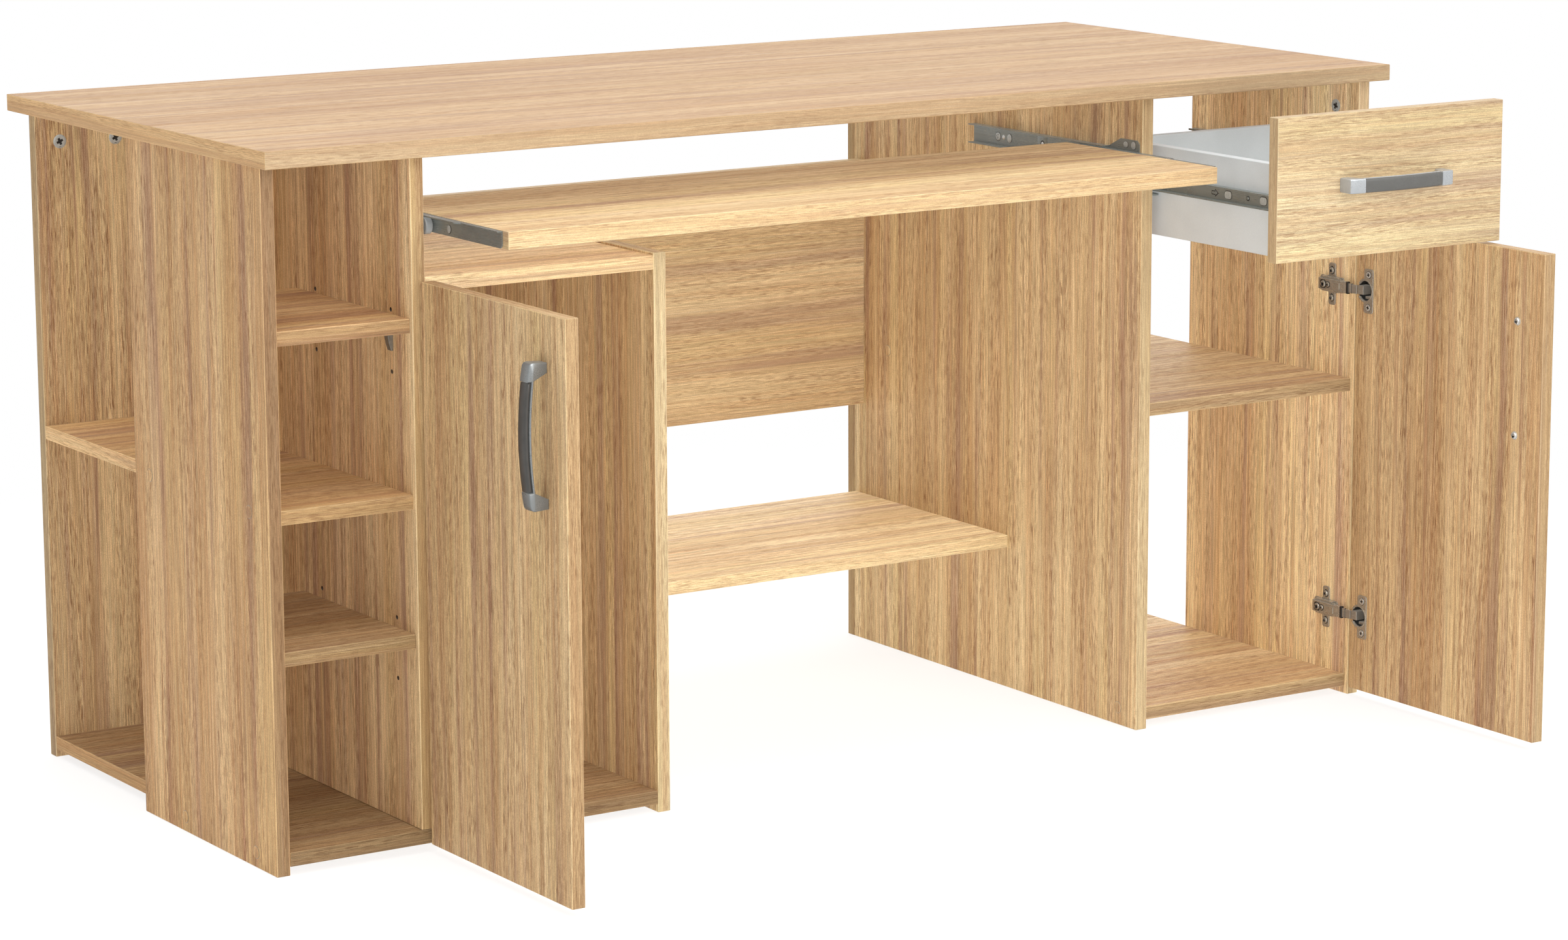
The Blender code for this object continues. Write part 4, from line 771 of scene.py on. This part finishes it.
# Holes are drawn as light discs in dark rims; the rims, and the dark rings round the screw and the stamp, are
# painted shade
HOLE_SHADE_RIM = [(-0.2, 0.0), (0.06, 0.0)]
HOLE_LIGHT = [(-0.2, 0.0), (0.12, 0.0), (0.2, 0.3)]
SCREW_HEAD = [(0.0, 0.0), (3.9, 0.0), (3.7, 0.25), (3.2, 0.3)]
form = Form()
for face, out in RAIL_FACES:
    base = seat((face, 0.0, RAIL_Z), REARWARD, UPWARD, out)
    spot = moved(base, RAIL_SCREW, 0.0, 0.0)
    form.turned(spot, [(0.0, -0.2), (5.4, -0.2), (5.4, 0.05), (0.0, 0.05)], 1)
    form.turned(spot, [(0.0, -0.2), (4.7, -0.2), (4.7, 0.1), (4.4, 0.2), (0.0, 0.2)], 3)
    form.turned(moved(base, RAIL_SCREW, 0.0, 0.1), SCREW_HEAD, 3, 24, (2.7, 0.25, 20.0))
    form.prism(base, [oval(261.0, 0.0, 2.7, 2.7)], HOLE_LIGHT, 2)
    form.prism(base, [oval(249.0, 0.0, 4.9, 5.4)], HOLE_SHADE_RIM, 1)
    form.prism(base, [oval(249.6, -0.2, 4.4, 5.0)], HOLE_LIGHT, 3)
    for distance, tall in ((14.0, 4.4), (28.0, 3.4)):
        form.prism(base, [oval(distance, TAB_HOLES, 4.6, tall + 0.4)], HOLE_SHADE_RIM, 1)
        form.prism(base, [oval(distance + 0.3, TAB_HOLES, 4.2, tall)], HOLE_LIGHT, 3)
    form.prism(base, [block(176.0, 194.0, -9.2, 9.2, 1.4)], [(-0.2, 0.0), (0.22, 0.0), (0.38, 0.3)])
    spot = moved(base, RAIL_STAMP, 0.0, 0.3)
    form.turned(spot, [(0.0, 0.0), (3.9, 0.0), (3.9, 0.1), (0.0, 0.1)], 1)
    form.turned(spot, [(0.0, 0.0), (2.7, 0.0), (2.3, 0.15), (0.0, 0.18)], 2)
form.piece("tray_rail_fixings", "carcass", [ZINC, SHADE_BLACK, SCREW, CAST])

# One screw hole in each tray runner, drawn as a grey disc in a dark rim of painted shade, wider on one side
RUNNER_FACES = ((192.5, LEFTWARD), (1074.4, RIGHTWARD))
RUNNER_HOLE_Y, RUNNER_HOLE_Z = -33.0, 649.0
form = Form()
for face, out in RUNNER_FACES:
    base = seat((face, RUNNER_HOLE_Y, RUNNER_HOLE_Z), REARWARD, UPWARD, out)
    form.prism(base, [oval(0.0, 0.0, 4.2, 4.8)], [(-0.9, 0.0), (0.08, 0.0)], 1)
    form.prism(base, [oval(0.7, 0.0, 3.4, 4.2)], [(-0.9, 0.0), (0.16, 0.0), (0.26, 0.3)])
form.piece("tray_runner_screws", "keyboard_tray", [CAST, SHADE_BLACK])

# Rivet, windows and pressed tongue on the inner members of the drawer slides; the windows are flat grey
# discs, and the dark rims round them, the rivet and the tongue are painted shade, wider on one side
SLIDE_FACES = ((1111.6, LEFTWARD), (1384.4, RIGHTWARD))
SLIDE_FRONT, SLIDE_Z = -209.0, 623.6
RIVET, TONGUE_AT, WINDOWS = 54.0, 112.0, (27.4, 88.4)
RIVET_SHADE_RING = [(0.0, -0.8), (2.1, -0.8), (2.1, 0.0), (2.9, 0.05), (2.9, 0.15), (0.0, 0.15)]
RIVET_HEAD = [(0.0, 0.0), (2.0, 0.0), (1.7, 0.5), (0.9, 0.8), (0.0, 0.85)]
TONGUE = ((-5.2, 0.0), (-1.4, 3.0), (-1.4, 1.3), (4.6, 1.3), (4.6, -1.3), (-1.4, -1.3), (-1.4, -3.0))
form = Form()
for face, out in SLIDE_FACES:
    base = seat((face, SLIDE_FRONT, SLIDE_Z), REARWARD, UPWARD, out)
    form.turned(moved(base, RIVET, 0.0, 0.0), RIVET_SHADE_RING, 1)
    form.turned(moved(base, RIVET, 0.0, 0.1), RIVET_HEAD)
    for distance in WINDOWS:
        window = block(distance - 6.0, distance + 6.0, -4.4, 4.4, 4.0)
        form.prism(base, [drawn_in(window, -0.5)], [(-0.6, 0.0), (0.06, 0.0)], 1)
        form.prism(moved(base, 0.35, -0.25, 0.0), [drawn_in(window, 0.2)], [(-0.5, 0.0), (0.14, 0.0)], 2)
    spot = moved(base, TONGUE_AT, 0.0, 0.0)
    form.prism(spot, [rounded(drawn_in(list(TONGUE), -1.0), 0.6)], [(-0.6, 0.0), (0.08, 0.0)], 1)
    form.prism(spot, [rounded(TONGUE, 0.5)], [(-0.5, 0.0), (0.3, 0.0), (0.5, 0.25)])
form.piece("drawer_slide_fixings", "drawer", [ZINC, SHADE_BLACK, CAST])

# Pale floor that shows the shadow near the desk and turns plain white further off
floor_mesh = bpy.data.meshes.new("floor")
FLOOR_HALF = 9.0
FLOOR_DROP = 0.0006
SHADOW_NEAR, SHADOW_FAR, NEAR_GLOW = 0.8, 1.9, 0.62
FLOOR_CORNERS = ((-1, -1), (1, -1), (1, 1), (-1, 1))
floor_places = [(x * FLOOR_HALF, y * FLOOR_HALF, -FLOOR_DROP) for x, y in FLOOR_CORNERS]
floor_mesh.from_pydata(floor_places, [], [(0, 1, 2, 3)])
floor = bpy.data.objects.new("floor", floor_mesh)
bpy.context.scene.collection.objects.link(floor)


def seen_rays(n):
    """One for rays that show the background itself: from the camera, a mirror or glass."""
    path = n.add("ShaderNodeLightPath").outputs
    seen = n.math("ADD", path["Is Camera Ray"], path["Is Glossy Ray"])
    return n.math("ADD", seen, path["Is Transmission Ray"], clamp=True)


floor_finish = bpy.data.materials.new("floor_white")
floor_finish.use_nodes = True
floor_finish.node_tree.nodes.clear()
n = Nodes(floor_finish.node_tree)
place = n.add("ShaderNodeTexCoord").outputs["Object"]
far = n.add("ShaderNodeVectorMath", {0: place}, operation="LENGTH").outputs["Value"]
share = n.math("MULTIPLY", seen_rays(n), n.ease(far, SHADOW_NEAR, SHADOW_FAR, NEAR_GLOW, 1.0))
matt = n.add("ShaderNodeBsdfDiffuse", {"Color": tone(244, 244, 243)})
glow = n.add("ShaderNodeEmission", {"Color": WHITE, "Strength": 1.0})
both = n.add("ShaderNodeMixShader", {0: share, 1: matt.outputs[0], 2: glow.outputs[0]})
n.add("ShaderNodeOutputMaterial", {"Surface": both.outputs[0]})
floor.data.materials.append(floor_finish)

# White surroundings and soft studio lamps
world = bpy.data.worlds.new("studio")
bpy.context.scene.world = world
world.use_nodes = True
world.node_tree.nodes.clear()
n = Nodes(world.node_tree)
SKY_LIGHT = 0.17
strength = n.between(seen_rays(n), SKY_LIGHT, 1.0)
sky = n.add("ShaderNodeBackground", {"Color": WHITE, "Strength": strength})
n.add("ShaderNodeOutputWorld", {"Surface": sky.outputs[0]})


FILL_SPREAD_DEG = 70.0


def lamp(name, place, aim, size, energy):
    data = bpy.data.lights.new(name, "AREA")
    data.shape = "DISK"
    data.size = size
    data.energy = energy
    obj = bpy.data.objects.new(name, data)
    bpy.context.scene.collection.objects.link(obj)
    obj.location = place
    obj.rotation_euler = (Vector(aim) - Vector(place)).to_track_quat("-Z", "Y").to_euler()
    return obj


def fill(name, towards, strength, shaded=False):
    """Even light from one side that reaches into the open cabinets, as from a white studio's walls."""
    data = bpy.data.lights.new(name, "SUN")
    data.energy = strength * math.pi
    data.angle = math.radians(FILL_SPREAD_DEG)
    data.use_shadow = shaded
    obj = bpy.data.objects.new(name, data)
    bpy.context.scene.collection.objects.link(obj)
    obj.rotation_euler = Vector(towards).to_track_quat("Z", "Y").to_euler()
    return obj


def linked_boards(name, boards, state):
    """Boards that a light is linked to, or left out of."""
    made = bpy.data.collections.new(name)
    for board in boards:
        made.objects.link(NODES[board])
    for member in made.collection_objects:
        member.light_linking.link_state = state
    return made


lamp("front_lamp", (0.8, -4.8, 2.6), (0.1, 0.0, 0.4), 3.4, 96.0)
knee_lamp = lamp("knee_lamp", (-0.6, -1.7, 1.4), (0.2, 0.0, 0.4), 1.0, 17.0)
knee_lamp.data.use_shadow = False
# The light from above is shaded on the bookcase's own levels only, so that they grow darker downwards
OVERHEAD = (-0.24, -0.06, 0.97)
OVERHEAD_LIGHT = 0.82
open_fill = fill("open_fill", OVERHEAD, OVERHEAD_LIGHT)
niche_fill = fill("niche_fill", OVERHEAD, OVERHEAD_LIGHT, True)
NICHE_LEVELS = ("left_middle_shelf", "bookcase_shelf_upper", "bookcase_shelf_lower", "left_bottom_board")
NICHE_SHADE = ("bookcase_shelf_upper", "bookcase_shelf_lower", "left_side_panel", "left_divider")
open_fill.light_linking.receiver_collection = linked_boards("outside_niche", NICHE_LEVELS, "EXCLUDE")
niche_fill.light_linking.receiver_collection = linked_boards("inside_niche", NICHE_LEVELS, "INCLUDE")
niche_fill.light_linking.blocker_collection = linked_boards("round_niche", NICHE_SHADE, "INCLUDE")
fill("shaded_fill", (0.3, -0.6, 0.74), 0.24, True)
fill("back_fill", (0.62, 0.62, 0.48), 0.42)

# Camera at the photograph's viewing angle, for an image of 2400 by 1439
IMAGE_W = 2400
FOCAL_PX = 7029.64
EYE = Vector((-2.71286, -4.16828, 1.28931))
YAW, PITCH, ROLL = 0.57457, -0.19248, -0.00373
camera = bpy.data.objects.new("camera", bpy.data.cameras.new("camera"))
bpy.context.scene.collection.objects.link(camera)
bpy.context.scene.camera = camera
camera.data.sensor_width = 36.0
camera.data.lens = FOCAL_PX / IMAGE_W * camera.data.sensor_width
camera.data.clip_end = 60.0
ahead = Vector((math.sin(YAW) * math.cos(PITCH), math.cos(YAW) * math.cos(PITCH), math.sin(PITCH)))
side = Vector((math.cos(YAW), -math.sin(YAW), 0.0))
up = side.cross(ahead)
right = side * math.cos(ROLL) + up * math.sin(ROLL)
up = up * math.cos(ROLL) - side * math.sin(ROLL)
camera.matrix_world = Matrix.Translation(EYE) @ Matrix((right, up, -ahead)).transposed().to_4x4()

bpy.context.scene.view_settings.view_transform = "Standard"
